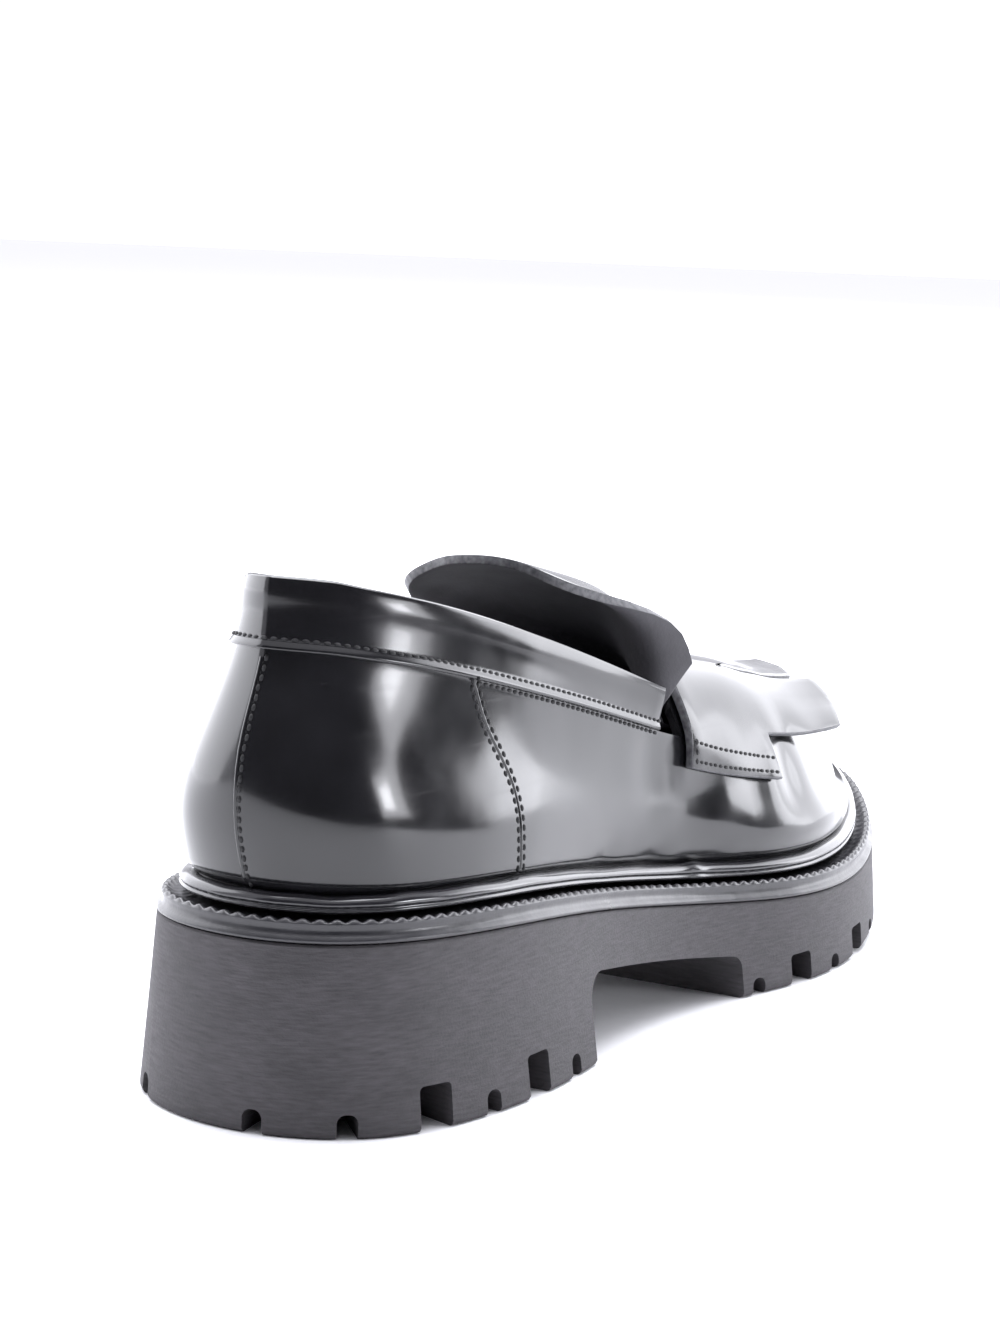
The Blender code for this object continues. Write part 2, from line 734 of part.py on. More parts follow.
def kiltie_point(across, share, lift):
    return surface_point(share, across, STRAP_LIFT + lift)


def strip_rows(first, last):
    """The columns of one strip, from the strap's front edge to its pointed end."""
    middle = (first + last) / 2
    rows = []
    for i in range(5):
        root = first + (last - first) * i / 4
        off = abs(root - middle) / (last - first) * 2
        spread = abs(root)
        front = KILTIE["front"](spread)
        tip = KILTIE["tip"](spread) - FRINGE_POINT_SHARE * off
        column = []
        for j in range(6):
            run = j / 5
            across = root + (middle * FRINGE_SPREAD_SHARE - (root - middle) * 0.10) * run
            lift = KILTIE["lift"](abs(middle)) * FRINGE_LIFT * run**2
            column.append(kiltie_point(across, front + (tip - front) * run, lift))
        rows.append(column)
    return rows


def make_kiltie(material):
    bm = bmesh.new()
    width = 2 * FRINGE_WIDTH_SHARE / FRINGE_STRIPS
    edges = [width * i - FRINGE_WIDTH_SHARE for i in range(FRINGE_STRIPS + 1)]
    columns = [a + (b - a) * i / 4 for a, b in zip(edges, edges[1:]) for i in range(4)] + [FRINGE_WIDTH_SHARE]
    columns = [-STRAP_END_SHARE, -(STRAP_END_SHARE + FRINGE_WIDTH_SHARE) / 2] + columns
    columns += [(STRAP_END_SHARE + FRINGE_WIDTH_SHARE) / 2, STRAP_END_SHARE]
    grid = []
    for across in columns:
        back, front = KILTIE["back"](abs(across)), KILTIE["front"](abs(across))
        row = []
        for j in range(4):
            narrowed = across * (1 - STRAP_TAPER_SHARE * (1 - j / 3))
            row.append(kiltie_point(narrowed, back + (front - back) * j / 3, 0.0))
        grid.append(row)
    add_grid(bm, grid)
    for first, last in zip(edges, edges[1:]):
        add_grid(bm, strip_rows(first, last))
    return wall_from(bm, "kiltie", STRAP_THICKNESS, material, inward=False)


def clear_scene():
    for obj in list(bpy.data.objects):
        bpy.data.objects.remove(obj, do_unlink=True)


clear_scene()
SHOE = bpy.data.collections.new("lug_sole_loafer")
CUTTERS = bpy.data.collections.new("cutters")
bpy.context.scene.collection.children.link(SHOE)
bpy.context.scene.collection.children.link(CUTTERS)

RUBBER = finish("sole_rubber", (0.045, 0.042, 0.045), 0.75)
BAND = finish("welt_rubber", (0.030, 0.030, 0.033), 0.30)
LEATHER = finish("polished_leather", (0.010, 0.010, 0.011), 0.12, coat=1.0)
LINING = finish("lining", (0.020, 0.020, 0.022), 0.60)

make_outsole(RUBBER)
make_welt(BAND)
make_rand(LEATHER)
make_upper(LEATHER)
make_insole(LINING)
make_tongue(LEATHER)
make_kiltie(LEATHER)
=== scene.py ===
"""Looks of a chunky lug sole loafer, the right shoe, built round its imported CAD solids."""

import math

import bmesh
import bpy
import numpy as np
from mathutils import Matrix, Vector
from mathutils.bvhtree import BVHTree


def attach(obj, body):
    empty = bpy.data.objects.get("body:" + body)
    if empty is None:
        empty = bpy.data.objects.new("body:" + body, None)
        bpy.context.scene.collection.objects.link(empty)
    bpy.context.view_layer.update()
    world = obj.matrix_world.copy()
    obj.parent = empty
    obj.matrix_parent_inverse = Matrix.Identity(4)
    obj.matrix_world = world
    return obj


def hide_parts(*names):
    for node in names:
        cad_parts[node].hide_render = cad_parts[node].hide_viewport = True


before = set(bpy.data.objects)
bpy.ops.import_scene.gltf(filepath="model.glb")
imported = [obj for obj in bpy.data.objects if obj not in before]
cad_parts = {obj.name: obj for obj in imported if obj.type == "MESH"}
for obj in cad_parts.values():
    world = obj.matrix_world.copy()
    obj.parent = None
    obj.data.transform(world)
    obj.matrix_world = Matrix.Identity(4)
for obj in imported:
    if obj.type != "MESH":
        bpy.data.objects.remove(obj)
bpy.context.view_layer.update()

# Camera. It stands behind the heel on the outer side, a little above the shoe, and is rolled by a
# degree, as the photograph's was. Metres, in the frame's axes.

CAMERA_PLACE = Vector((0.36225, -0.54768, 0.20122))
CAMERA_TARGET = Vector((-0.01895, 0.10391, 0.07923))
CAMERA_ROLL = math.radians(1.43)
CAMERA_LENS_MM = 81.7


def placed(name, data):
    thing = bpy.data.objects.new(name, data)
    bpy.context.scene.collection.objects.link(thing)
    return thing


def facing(place, target):
    """The matrix of a camera or light that stands at place and looks at target."""
    return Matrix.Translation(place) @ (target - place).to_track_quat("-Z", "Y").to_matrix().to_4x4()


camera_data = bpy.data.cameras.new("camera")
camera_data.lens = CAMERA_LENS_MM
camera = placed("camera", camera_data)
camera.matrix_world = facing(CAMERA_PLACE, CAMERA_TARGET) @ Matrix.Rotation(CAMERA_ROLL, 4, "Z")
bpy.context.scene.camera = camera

# Outsole. One thick block of dark foamed rubber, moulded with a high heel, an open waist and square
# lugs round its edge. Its side is lightly brushed along the shoe. The outline's half widths are shares
# of the ball's width, and the heights are shares of the heel's.

LENGTH = 0.285
BALL_WIDTH = 0.099
HEEL_BACK = 0.040
HEEL_HEIGHT = 0.0418
LATERAL, MEDIAL = 1, -1

SOLE_COLUMNS = ("share", "lateral", "medial", "top", "flare", "spring")
SOLE_SECTIONS = (
    (0.000, 0.000, 0.000, 1.000, 0.03, 0.000),
    (0.020, 0.205, 0.205, 0.996, 0.05, 0.000),
    (0.060, 0.310, 0.310, 0.985, 0.09, 0.000),
    (0.130, 0.375, 0.375, 0.955, 0.12, 0.000),
    (0.250, 0.400, 0.392, 0.885, 0.12, 0.000),
    (0.400, 0.372, 0.340, 0.730, 0.09, 0.000),
    (0.520, 0.405, 0.380, 0.605, 0.07, 0.000),
    (0.640, 0.495, 0.465, 0.525, 0.06, 0.000),
    (0.750, 0.503, 0.503, 0.510, 0.04, 0.010),
    (0.860, 0.418, 0.435, 0.580, 0.03, 0.080),
    (0.940, 0.285, 0.305, 0.690, 0.02, 0.180),
    (0.985, 0.150, 0.160, 0.770, 0.02, 0.250),
    (1.000, 0.000, 0.000, 0.800, 0.02, 0.270),
)


def smooth_curve(places, values):
    """A natural cubic spline through values, which may be numbers or points."""
    x = np.array(places, float)
    y = np.array(values, float).reshape(len(x), -1)
    step = np.diff(x)
    slope = np.diff(y, axis=0) / step[:, None]
    inner = np.arange(1, len(x) - 1)
    system = np.eye(len(x))
    system[inner, inner - 1] = step[:-1]
    system[inner, inner] = 2 * (step[:-1] + step[1:])
    system[inner, inner + 1] = step[1:]
    right = np.zeros_like(y)
    right[1:-1] = 6 * np.diff(slope, axis=0)
    bend = np.linalg.solve(system, right)

    def value(at):
        at = np.asarray(at, float)
        i = np.clip(np.searchsorted(x, at) - 1, 0, len(x) - 2)
        a, b, h = (x[i + 1] - at)[..., None], (at - x[i])[..., None], step[i][..., None]
        found = bend[i] * a**3 / (6 * h) + bend[i + 1] * b**3 / (6 * h)
        found = found + (y[i] / h - bend[i] * h / 6) * a + (y[i + 1] / h - bend[i + 1] * h / 6) * b
        return found[..., 0] if y.shape[1] == 1 else found

    return value


def turn_of(share):
    """The place round the outline, 0 at the heel's back and 1 at the toe, for a share of the length."""
    return np.arccos(1 - 2 * np.clip(share, 0.0, 1.0)) / math.pi


def share_of(turn):
    return (1 - np.cos(math.pi * np.asarray(turn, float))) / 2


def table_curves(columns, rows, by_turn=True):
    places = [float(turn_of(row[0])) if by_turn else row[0] for row in rows]
    return {name: smooth_curve(places, [row[i] for row in rows]) for i, name in enumerate(columns) if i}


SOLE = table_curves(SOLE_COLUMNS, SOLE_SECTIONS)


def edge_at(side, turn):
    turn = np.asarray(turn, float)
    width = np.where(side == LATERAL, SOLE["lateral"](turn), SOLE["medial"](turn)) * BALL_WIDTH
    return np.stack([side * width, share_of(turn) * LENGTH - HEEL_BACK], -1)


def plan_at(side, turn, inset):
    """The point that lies inset inside the sole's top edge, seen from above."""
    turn = np.asarray(turn, float)
    side = np.broadcast_to(side, turn.shape)
    along = edge_at(side, np.minimum(turn + 1e-4, 1.0)) - edge_at(side, np.maximum(turn - 1e-4, 0.0))
    along = along / np.linalg.norm(along, axis=-1, keepdims=True)
    inward = np.stack([-along[..., 1] * side, along[..., 0] * side], -1)
    inward[turn <= 0.0] = (0.0, 1.0)
    inward[turn >= 1.0] = (0.0, -1.0)
    return edge_at(side, turn) + inward * np.asarray(inset, float)[..., None]


def lengths_along(points):
    return np.concatenate([[0], np.cumsum(np.linalg.norm(np.diff(points, axis=0), axis=1))])


def ring_at(lap, inset):
    """plan_at all round the shoe: lap is 0 to 1 up the lateral side and 1 to 2 back down the medial."""
    side = np.where(lap <= 1.0, LATERAL, MEDIAL)
    return plan_at(side, np.where(lap <= 1.0, lap, 2.0 - lap), np.broadcast_to(inset, lap.shape))


def even_laps(count, inset):
    """Laps of count equal steps all round the shoe."""
    fine = np.linspace(0.0, 2.0, 4001)
    run = lengths_along(ring_at(fine, inset))
    return np.interp(np.arange(count) / count * run[-1], run, fine), float(run[-1])


def turn_at(y):
    return turn_of((y + HEEL_BACK) / LENGTH)


def block_top(y):
    """Height of the rubber block's top edge."""
    return SOLE["top"](turn_at(y)) * HEEL_HEIGHT


def tread_height(y):
    spring = np.maximum(SOLE["spring"](turn_at(y)), 0.0) * HEEL_HEIGHT
    return np.where(turn_at(y) > turn_of(0.70), spring, 0.0)


def new_piece(name, bm, *materials):
    mesh = bpy.data.meshes.new(name)
    bm.to_mesh(mesh)
    bm.free()
    for material in materials:
        mesh.materials.append(material)
    mesh.shade_smooth()
    return placed(name, mesh)


def final_mesh(piece):
    """A new mesh: the piece with its modifiers or its curve's thickness applied."""
    graph = bpy.context.evaluated_depsgraph_get()
    return bpy.data.meshes.new_from_object(piece.evaluated_get(graph), depsgraph=graph)


def bake_modifiers(piece):
    mesh = final_mesh(piece)
    old, name = piece.data, piece.data.name
    piece.modifiers.clear()
    piece.data = mesh
    bpy.data.meshes.remove(old)
    mesh.name = name


def swept_ring(laps, profile):
    """A band all round the shoe. profile lists (inset, height) pairs, each a number or one per lap."""
    bm = bmesh.new()
    order = bm.verts.layers.int.new("order")
    start = bmesh.ops.create_circle(bm, segments=len(laps), radius=1.0)
    for i, vertex in enumerate(start["verts"]):
        vertex[order] = i
    ring, edges = list(bm.verts), list(bm.edges)
    for step, (inset, height) in enumerate(profile):
        if step:
            grown = bmesh.ops.extrude_edge_only(bm, edges=edges)["geom"]
            ring = [item for item in grown if isinstance(item, bmesh.types.BMVert)]
            fresh = set(ring)
            edges = [e for e in bm.edges if e.verts[0] in fresh and e.verts[1] in fresh]
        places = ring_at(laps, inset)
        heights = np.broadcast_to(height(places[:, 1]) if callable(height) else height, laps.shape)
        for vertex in ring:
            i = vertex[order]
            vertex.co = (places[i, 0], places[i, 1], heights[i])
    return bm, edges


def close_ring(bm, edges):
    bmesh.ops.triangle_fill(bm, use_beauty=True, use_dissolve=False, edges=edges)


TREAD_EDGE = 0.0012
TOP_EDGE = 0.0005
OUTSOLE_STEPS = 260


def flare(laps):
    turn = np.where(laps <= 1.0, laps, 2.0 - laps)
    return SOLE["flare"](turn) * HEEL_HEIGHT


def outsole_body():
    laps, _ = even_laps(OUTSOLE_STEPS, 0.0)
    out = flare(laps)
    profile = [
        (TOP_EDGE, block_top),
        (0.0, lambda y: block_top(y) - TOP_EDGE),
        (-out * 0.97, lambda y: tread_height(y) + TREAD_EDGE + 0.0012),
        (-out, lambda y: tread_height(y) + TREAD_EDGE),
        (-out + TREAD_EDGE * 0.4, lambda y: tread_height(y) + TREAD_EDGE * 0.25),
        (-out + TREAD_EDGE, tread_height),
    ]
    bm, tread = swept_ring(laps, profile)
    close_ring(bm, tread)
    close_ring(bm, [edge for edge in bm.edges if edge.is_boundary])
    bmesh.ops.recalc_face_normals(bm, faces=bm.faces)
    return bm


BREAST_AT = 0.0865
FOREFOOT_AT = 0.1585
ARCH_HEEL_HEIGHT = 0.0205
ARCH_TOE_HEIGHT = 0.0095
BREAST_RADIUS = 0.0065
LUG_PITCH = 0.0172
BACK_LUG_PITCH = 0.0210
HEEL_LUG = 0.0118
FOREFOOT_LUG = 0.0066
NARROW_GROOVE = 0.0046
NARROW_GROOVE_HEIGHT = 0.0055
NARROW_GROOVE_REACH = 0.014
WIDE_GROOVE = 0.0085
WIDE_GROOVE_HEIGHT = 0.0100
FOREFOOT_GROOVE_SHARE = 0.78
SPINE_HALF_WIDTH = 0.009
BELOW_TREAD = -0.010
GROOVE_OVERSHOOT = 0.006
SIDEWAYS = 0.8


def drawn_out(outline, depth):
    """A flat outline in the XZ plane, extruded by depth towards +Y."""
    bm = bmesh.new()
    face = bm.faces.new([bm.verts.new((x, 0.0, z)) for x, z in outline])
    grown = bmesh.ops.extrude_face_region(bm, geom=[face])["geom"]
    bmesh.ops.translate(bm, verts=[v for v in grown if isinstance(v, bmesh.types.BMVert)], vec=(0, depth, 0))
    bmesh.ops.recalc_face_normals(bm, faces=bm.faces)
    return bm


def rounded(centre, radius, start, end, steps=5):
    angles = [math.radians(start + (end - start) * i / steps) for i in range(steps + 1)]
    return [(centre[0] + radius * math.cos(a), centre[1] + radius * math.sin(a)) for a in angles]


def groove_shape(wide, forefoot):
    half = (WIDE_GROOVE if wide else NARROW_GROOVE) / 2
    height = WIDE_GROOVE_HEIGHT if wide else NARROW_GROOVE_HEIGHT
    height *= FOREFOOT_GROOVE_SHARE if forefoot else 1.0
    corner = half * (0.28 if wide else 0.85)
    crown = rounded((half - corner, height - corner), corner, 0, 90)
    crown += rounded((corner - half, height - corner), corner, 90, 180)
    return [(-half, BELOW_TREAD), (half, BELOW_TREAD)] + crown


def groove_laps():
    """(lap, wide) of each groove, spaced along the tread's edge from the breast and the forefoot."""
    found = []
    fine = np.linspace(0.0, 1.0, 1601)
    for side in (LATERAL, MEDIAL):
        lap = fine if side == LATERAL else 2.0 - fine
        run = lengths_along(ring_at(lap, -flare(lap)))
        breast = np.interp(turn_of(BREAST_AT / LENGTH), fine, run)
        front = np.interp(turn_of(FOREFOOT_AT / LENGTH), fine, run)
        runs = [(breast - HEEL_LUG - i * LUG_PITCH, i % 2 == 1) for i in range(4)]
        backs = 2 if side == LATERAL else 1
        runs += [(runs[3][0] - BACK_LUG_PITCH * (i + 1), False) for i in range(backs)]
        count = int((run[-1] - LUG_PITCH / 3 - front - FOREFOOT_LUG) / LUG_PITCH) + 1
        runs += [(front + FOREFOOT_LUG + LUG_PITCH * i, i % 2 == 1) for i in range(count)]
        for place, wide in runs:
            turn = float(np.interp(place, run, fine))
            found.append((turn if side == LATERAL else 2.0 - turn, wide))
    return found


def cutter(name, bm):
    mesh = bpy.data.meshes.new(name)
    bm.to_mesh(mesh)
    bm.free()
    return placed(name, mesh)


def arch_cutter():
    breast, front = BREAST_AT - HEEL_BACK, FOREFOOT_AT - HEEL_BACK
    slope = BREAST_RADIUS / 2
    outline = [(front, BELOW_TREAD), (breast, BELOW_TREAD)]
    outline += rounded((breast + BREAST_RADIUS, ARCH_HEEL_HEIGHT - BREAST_RADIUS), BREAST_RADIUS, 180, 90, 8)
    outline += rounded((front - slope, ARCH_TOE_HEIGHT - slope * 0.5), slope, 80, 0, 6)
    bm = drawn_out(outline, 2 * BALL_WIDTH)
    across_shoe = Matrix(((0, 1, 0, -BALL_WIDTH), (1, 0, 0, 0), (0, 0, 1, 0), (0, 0, 0, 1)))
    bmesh.ops.transform(bm, verts=bm.verts, matrix=across_shoe)
    bmesh.ops.recalc_face_normals(bm, faces=bm.faces)
    return cutter("arch_cutter", bm)


def groove_cutter():
    bm = bmesh.new()
    for lap, wide in groove_laps():
        lap = np.array([lap])
        outward = Vector((*(ring_at(lap, 0.0) - ring_at(lap, 0.001))[0], 0.0)).normalized()
        edge = Vector((*ring_at(lap, -flare(lap))[0], 0.0))
        forefoot = edge.y > FOREFOOT_AT - HEEL_BACK
        reach = NARROW_GROOVE_REACH
        if wide and abs(outward.x) > SIDEWAYS:
            reach = abs(edge.x) - SPINE_HALF_WIDTH
        piece = drawn_out(groove_shape(wide, forefoot), reach + GROOVE_OVERSHOOT)
        inward = -outward
        across = Vector((inward.y, -inward.x, 0.0))
        start = edge + outward * GROOVE_OVERSHOOT + Vector((0, 0, float(tread_height(edge.y))))
        turned = Matrix((across, inward, Vector((0, 0, 1)))).transposed().to_4x4()
        bmesh.ops.transform(piece, verts=piece.verts, matrix=Matrix.Translation(start) @ turned)
        bmesh.ops.recalc_face_normals(piece, faces=piece.faces)
        mesh = bpy.data.meshes.new("groove")
        piece.to_mesh(mesh)
        piece.free()
        bm.from_mesh(mesh)
        bpy.data.meshes.remove(mesh)
    return cutter("groove_cutter", bm)


def new_material(name, colour, roughness, **sockets):
    material = bpy.data.materials.new(name)
    material.use_nodes = True
    shader = material.node_tree.nodes["Principled BSDF"]
    shader.inputs["Base Color"].default_value = (*colour, 1.0)
    shader.inputs["Roughness"].default_value = roughness
    for socket, value in sockets.items():
        shader.inputs[socket.replace("_", " ")].default_value = value
    return material, material.node_tree, shader


def pattern(tree, kind, stretch, scale, detail=3.0):
    """A procedural texture over the object, in metres, drawn out along the axes by stretch."""
    place = tree.nodes.new("ShaderNodeTexCoord")
    mapping = tree.nodes.new("ShaderNodeMapping")
    mapping.inputs["Scale"].default_value = stretch
    tree.links.new(place.outputs["Object"], mapping.inputs["Vector"])
    texture = tree.nodes.new(kind)
    texture.inputs["Scale"].default_value = scale
    if "Detail" in texture.inputs:
        texture.inputs["Detail"].default_value = detail
    tree.links.new(mapping.outputs["Vector"], texture.inputs["Vector"])
    return texture.outputs[0]


def ramp(tree, value, stops):
    """Colours or greys over a value: stops are (place, grey or colour)."""
    node = tree.nodes.new("ShaderNodeValToRGB")
    elements = node.color_ramp.elements
    while len(elements) < len(stops):
        elements.new(0.5)
    for element, (at, shade) in zip(elements, stops):
        element.position = at
        element.color = (*shade, 1.0) if isinstance(shade, tuple) else (shade, shade, shade, 1.0)
    tree.links.new(value, node.inputs["Fac"])
    return node.outputs["Color"]


def mixed(tree, kind, first, second, share):
    node = tree.nodes.new("ShaderNodeMix")
    node.data_type = "RGBA"
    node.blend_type = kind
    for socket, value in ((node.inputs[0], share), (node.inputs[6], first), (node.inputs[7], second)):
        if isinstance(value, bpy.types.NodeSocket):
            tree.links.new(value, socket)
        else:
            socket.default_value = value
    return node.outputs[2]


def tinted(tree, shader, value, dark, light):
    """Runs the base colour from dark to light over a pattern."""
    tree.links.new(ramp(tree, value, ((0.3, dark), (0.7, light))), shader.inputs["Base Color"])


def bumped(tree, shader, height, distance, under=None):
    node = tree.nodes.new("ShaderNodeBump")
    node.inputs["Strength"].default_value = 1.0
    node.inputs["Distance"].default_value = distance
    tree.links.new(height, node.inputs["Height"])
    if under is not None:
        tree.links.new(under, node.inputs["Normal"])
    tree.links.new(node.outputs["Normal"], shader.inputs["Normal"])
    return node.outputs["Normal"]


def sole_rubber():
    material, tree, shader = new_material("sole_rubber", (0.07, 0.066, 0.072), 0.72)
    brushing = pattern(tree, "ShaderNodeTexNoise", (240, 240, 1700), 1.0, 5.0)
    cloud = pattern(tree, "ShaderNodeTexNoise", (60, 60, 90), 1.0, 5.0)
    grain = pattern(tree, "ShaderNodeTexNoise", (1, 1, 1), 1600.0, 2.0)
    pits = pattern(tree, "ShaderNodeTexVoronoi", (1, 1, 1), 210.0)
    shade = ramp(tree, cloud, ((0.30, (0.040, 0.037, 0.041)), (0.72, (0.078, 0.073, 0.079))))
    shade = mixed(tree, "MULTIPLY", shade, ramp(tree, brushing, ((0.30, 0.62), (0.70, 1.0))), 1.0)
    speck = ramp(tree, pits, ((0.05, (0.26, 0.25, 0.26)), (0.075, (0.0, 0.0, 0.0))))
    shade = mixed(tree, "ADD", shade, speck, 0.55)
    tree.links.new(shade, shader.inputs["Base Color"])
    tree.links.new(ramp(tree, cloud, ((0.3, 0.62), (0.7, 0.80))), shader.inputs["Roughness"])
    relief = bumped(tree, shader, brushing, 0.00016)
    relief = bumped(tree, shader, grain, 0.00010, under=relief)
    bumped(tree, shader, ramp(tree, pits, ((0.03, 0.0), (0.09, 1.0))), 0.00025, under=relief)
    return material


outsole = new_piece("outsole_block", outsole_body(), sole_rubber())
cutters = [arch_cutter(), groove_cutter()]
for tool in cutters:
    boolean = outsole.modifiers.new(tool.name, "BOOLEAN")
    boolean.operation = "DIFFERENCE"
    boolean.solver = "EXACT"
    boolean.object = tool
bake_modifiers(outsole)
for tool in cutters:
    bpy.data.objects.remove(tool, do_unlink=True)
outsole.data.set_sharp_from_angle(angle=math.radians(32))
soften = outsole.modifiers.new("worn edges", "BEVEL")
soften.width = 0.0006
soften.segments = 2
soften.limit_method = "ANGLE"
soften.angle_limit = math.radians(40)
soften.use_clamp_overlap = True
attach(outsole, "root")
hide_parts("outsole")

# Welt. A strip of smoother rubber between the block and the upper, with a thin lip under its hollow
# side. Its top is moulded with ribs that run inwards and end in small teeth along the edge.

CLEARANCE = 0.0003
WELT_BAND = 0.0042
RIB_HEIGHT = 0.0017
RIB_PITCH = 0.0037
RIB_STEPS = 6
RIB_LINE_INSET = 0.0012
RAND_INSET = 0.0052


def seat_height(y):
    """Height of the plane that the upper stands on."""
    return block_top(y) + 2 * CLEARANCE + WELT_BAND + RIB_HEIGHT / 2


def over_block(rise):
    """A height over the block's top edge, for swept_ring."""
    return lambda y: block_top(y) + CLEARANCE + rise


def welt_strip():
    _, length = even_laps(64, RIB_LINE_INSET)
    ribs = round(length / RIB_PITCH)
    laps, _ = even_laps(ribs * RIB_STEPS, RIB_LINE_INSET)
    tooth = (0.5 - 0.5 * np.cos(np.arange(len(laps)) / RIB_STEPS * 2 * math.pi)) ** 0.7
    profile = [
        (0.0100, 0.0),
        (0.0010, -0.0002),
        (0.0000, 0.0002),
        (0.0000, 0.0009),
        (0.0008, 0.0014),
        (0.0013, 0.0023),
        (0.0013, 0.0032),
        (0.0009, 0.0040),
        (0.0010, 0.0042),
        (0.0013 + 0.0004 * (1 - tooth), 0.0044 + 0.0005 * tooth),
        (0.0019 + 0.0003 * (1 - tooth), 0.0043 + 0.0008 * tooth),
        (0.0026, 0.0041 + 0.0007 * tooth),
        (0.0036, 0.0036 + 0.0003 * tooth),
        (0.0050, 0.0036),
        (0.0100, 0.0044),
    ]
    bm, _ = swept_ring(laps, [(inset, over_block(rise)) for inset, rise in profile])
    bmesh.ops.bridge_loops(bm, edges=[edge for edge in bm.edges if edge.is_boundary])
    bmesh.ops.recalc_face_normals(bm, faces=bm.faces)
    return bm


def welt_rubber():
    material, tree, shader = new_material("welt_rubber", (0.035, 0.034, 0.038), 0.34, Coat_Weight=0.15)
    cloud = pattern(tree, "ShaderNodeTexNoise", (1, 1, 1), 120.0, 4.0)
    fine = pattern(tree, "ShaderNodeTexNoise", (1, 1, 1), 1500.0, 2.0)
    tinted(tree, shader, cloud, (0.018, 0.018, 0.021), (0.032, 0.031, 0.036))
    tree.links.new(ramp(tree, cloud, ((0.3, 0.26), (0.7, 0.42))), shader.inputs["Roughness"])
    relief = bumped(tree, shader, cloud, 0.0003)
    bumped(tree, shader, fine, 0.00003, under=relief)
    return material


welt = new_piece("ribbed_welt", welt_strip(), welt_rubber())
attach(welt, "root")
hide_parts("welt")

# Rand. A glossy moulded strip of two rounded ridges that hides where the upper turns in. Its ends meet
# in a small splice on the outer side of the waist.

RAND_WIDTH = 0.0031
RAND_HEIGHT = 0.0033
RAND_STEPS = 520
SPLICE_LAP = 0.515
SPLICE_WIDTH = 0.006
SPLICE_SWELL = 0.0004
RAND_PROFILE = (
    (0.10, 0.00),
    (-0.06, 0.08),
    (-0.14, 0.18),
    (-0.10, 0.29),
    (0.02, 0.35),
    (-0.06, 0.42),
    (-0.12, 0.56),
    (-0.10, 0.72),
    (0.02, 0.88),
    (0.20, 1.02),
    (0.45, 1.12),
    (0.75, 1.15),
    (1.00, 1.08),
)


def rand_strip():
    laps, _ = even_laps(RAND_STEPS, RAND_INSET)
    wave = 0.00010 * np.sin(laps * 41.0) + 0.00008 * np.sin(laps * 97.0 + 1.3)
    splice = np.exp(-(((laps - SPLICE_LAP) / SPLICE_WIDTH) ** 2))
    profile = []
    for across, up in RAND_PROFILE:
        inset = RAND_INSET + across * RAND_WIDTH + wave * up - SPLICE_SWELL * splice * (1 - across)
        y = ring_at(laps, inset)[:, 1]
        profile.append((inset, seat_height(y) + up * (RAND_HEIGHT + wave + SPLICE_SWELL * splice)))
    bm, _ = swept_ring(laps, profile)
    bmesh.ops.recalc_face_normals(bm, faces=bm.faces)
    return bm


def polish(name, dark, light, gloss, coat):
    """Black finish with a hard shine, faint clouds, fine scuffs along the shoe and a little dust."""
    material, tree, shader = new_material(name, dark, gloss, Coat_Weight=coat, Coat_Roughness=0.10, IOR=1.5)
    cloud = pattern(tree, "ShaderNodeTexNoise", (1, 1, 1), 55.0, 3.0)
    swell = pattern(tree, "ShaderNodeTexNoise", (34, 34, 20), 1.0, 1.5)
    scuff = pattern(tree, "ShaderNodeTexNoise", (90, 30, 500), 1.0, 6.0)
    dust = pattern(tree, "ShaderNodeTexVoronoi", (1, 1, 1), 330.0)
    drift = pattern(tree, "ShaderNodeTexNoise", (1, 1, 1), 70.0, 2.0)
    shade = ramp(tree, cloud, ((0.35, dark), (0.75, light)))
    speck = ramp(tree, dust, ((0.05, (0.30, 0.30, 0.31)), (0.11, (0.0, 0.0, 0.0))))
    where = ramp(tree, drift, ((0.58, 0.0), (0.68, 0.8)))
    tree.links.new(mixed(tree, "ADD", shade, speck, where), shader.inputs["Base Color"])
    dulled = ramp(tree, cloud, ((0.3, gloss * 0.7), (0.8, gloss * 1.5)))
    scratched = ramp(tree, scuff, ((0.62, 0.0), (0.80, 0.25)))
    tree.links.new(mixed(tree, "ADD", dulled, scratched, 0.35), shader.inputs["Roughness"])
    relief = bumped(tree, shader, swell, 0.00045)
    bumped(tree, shader, scuff, 0.000008, under=relief)
    return material


RAND_GLOSS = polish("rand_gloss", (0.014, 0.014, 0.017), (0.022, 0.022, 0.026), 0.20, 0.5)
rand = new_piece("rand_strip", rand_strip(), RAND_GLOSS)
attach(rand, "root")
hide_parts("rand")

# Upper. Polished black leather on a round-toed last: the vamp is one piece over the toes, the quarters
# run back to the heel, and a folded collar band is sewn on over their top edge. "in" columns say how
# far the wall stands inside the sole's edge and "up" columns how high over the rand's seat.

WALL = 0.0020
BACK_HEIGHT = 0.0675
INSTEP_HEIGHT = 0.0540
SWELL_SHARE = 0.40
SWELL_RISE = 0.0022
COLLAR_STEP = 0.0006
SEAM_RAISE = 0.0007
SEAM_WIDTH = 0.0016
ROLL_DOWN = 0.0028
ROLL_OUT = 0.0004
COLLAR_END_TURN = 0.475
THROAT_TURN = 0.500
RIDGE_SHIFT = -0.002
TIP_FROM = 0.93
TIP_SMOOTHING = ((0.016, 12), (0.012, 30), (0.008, 120))

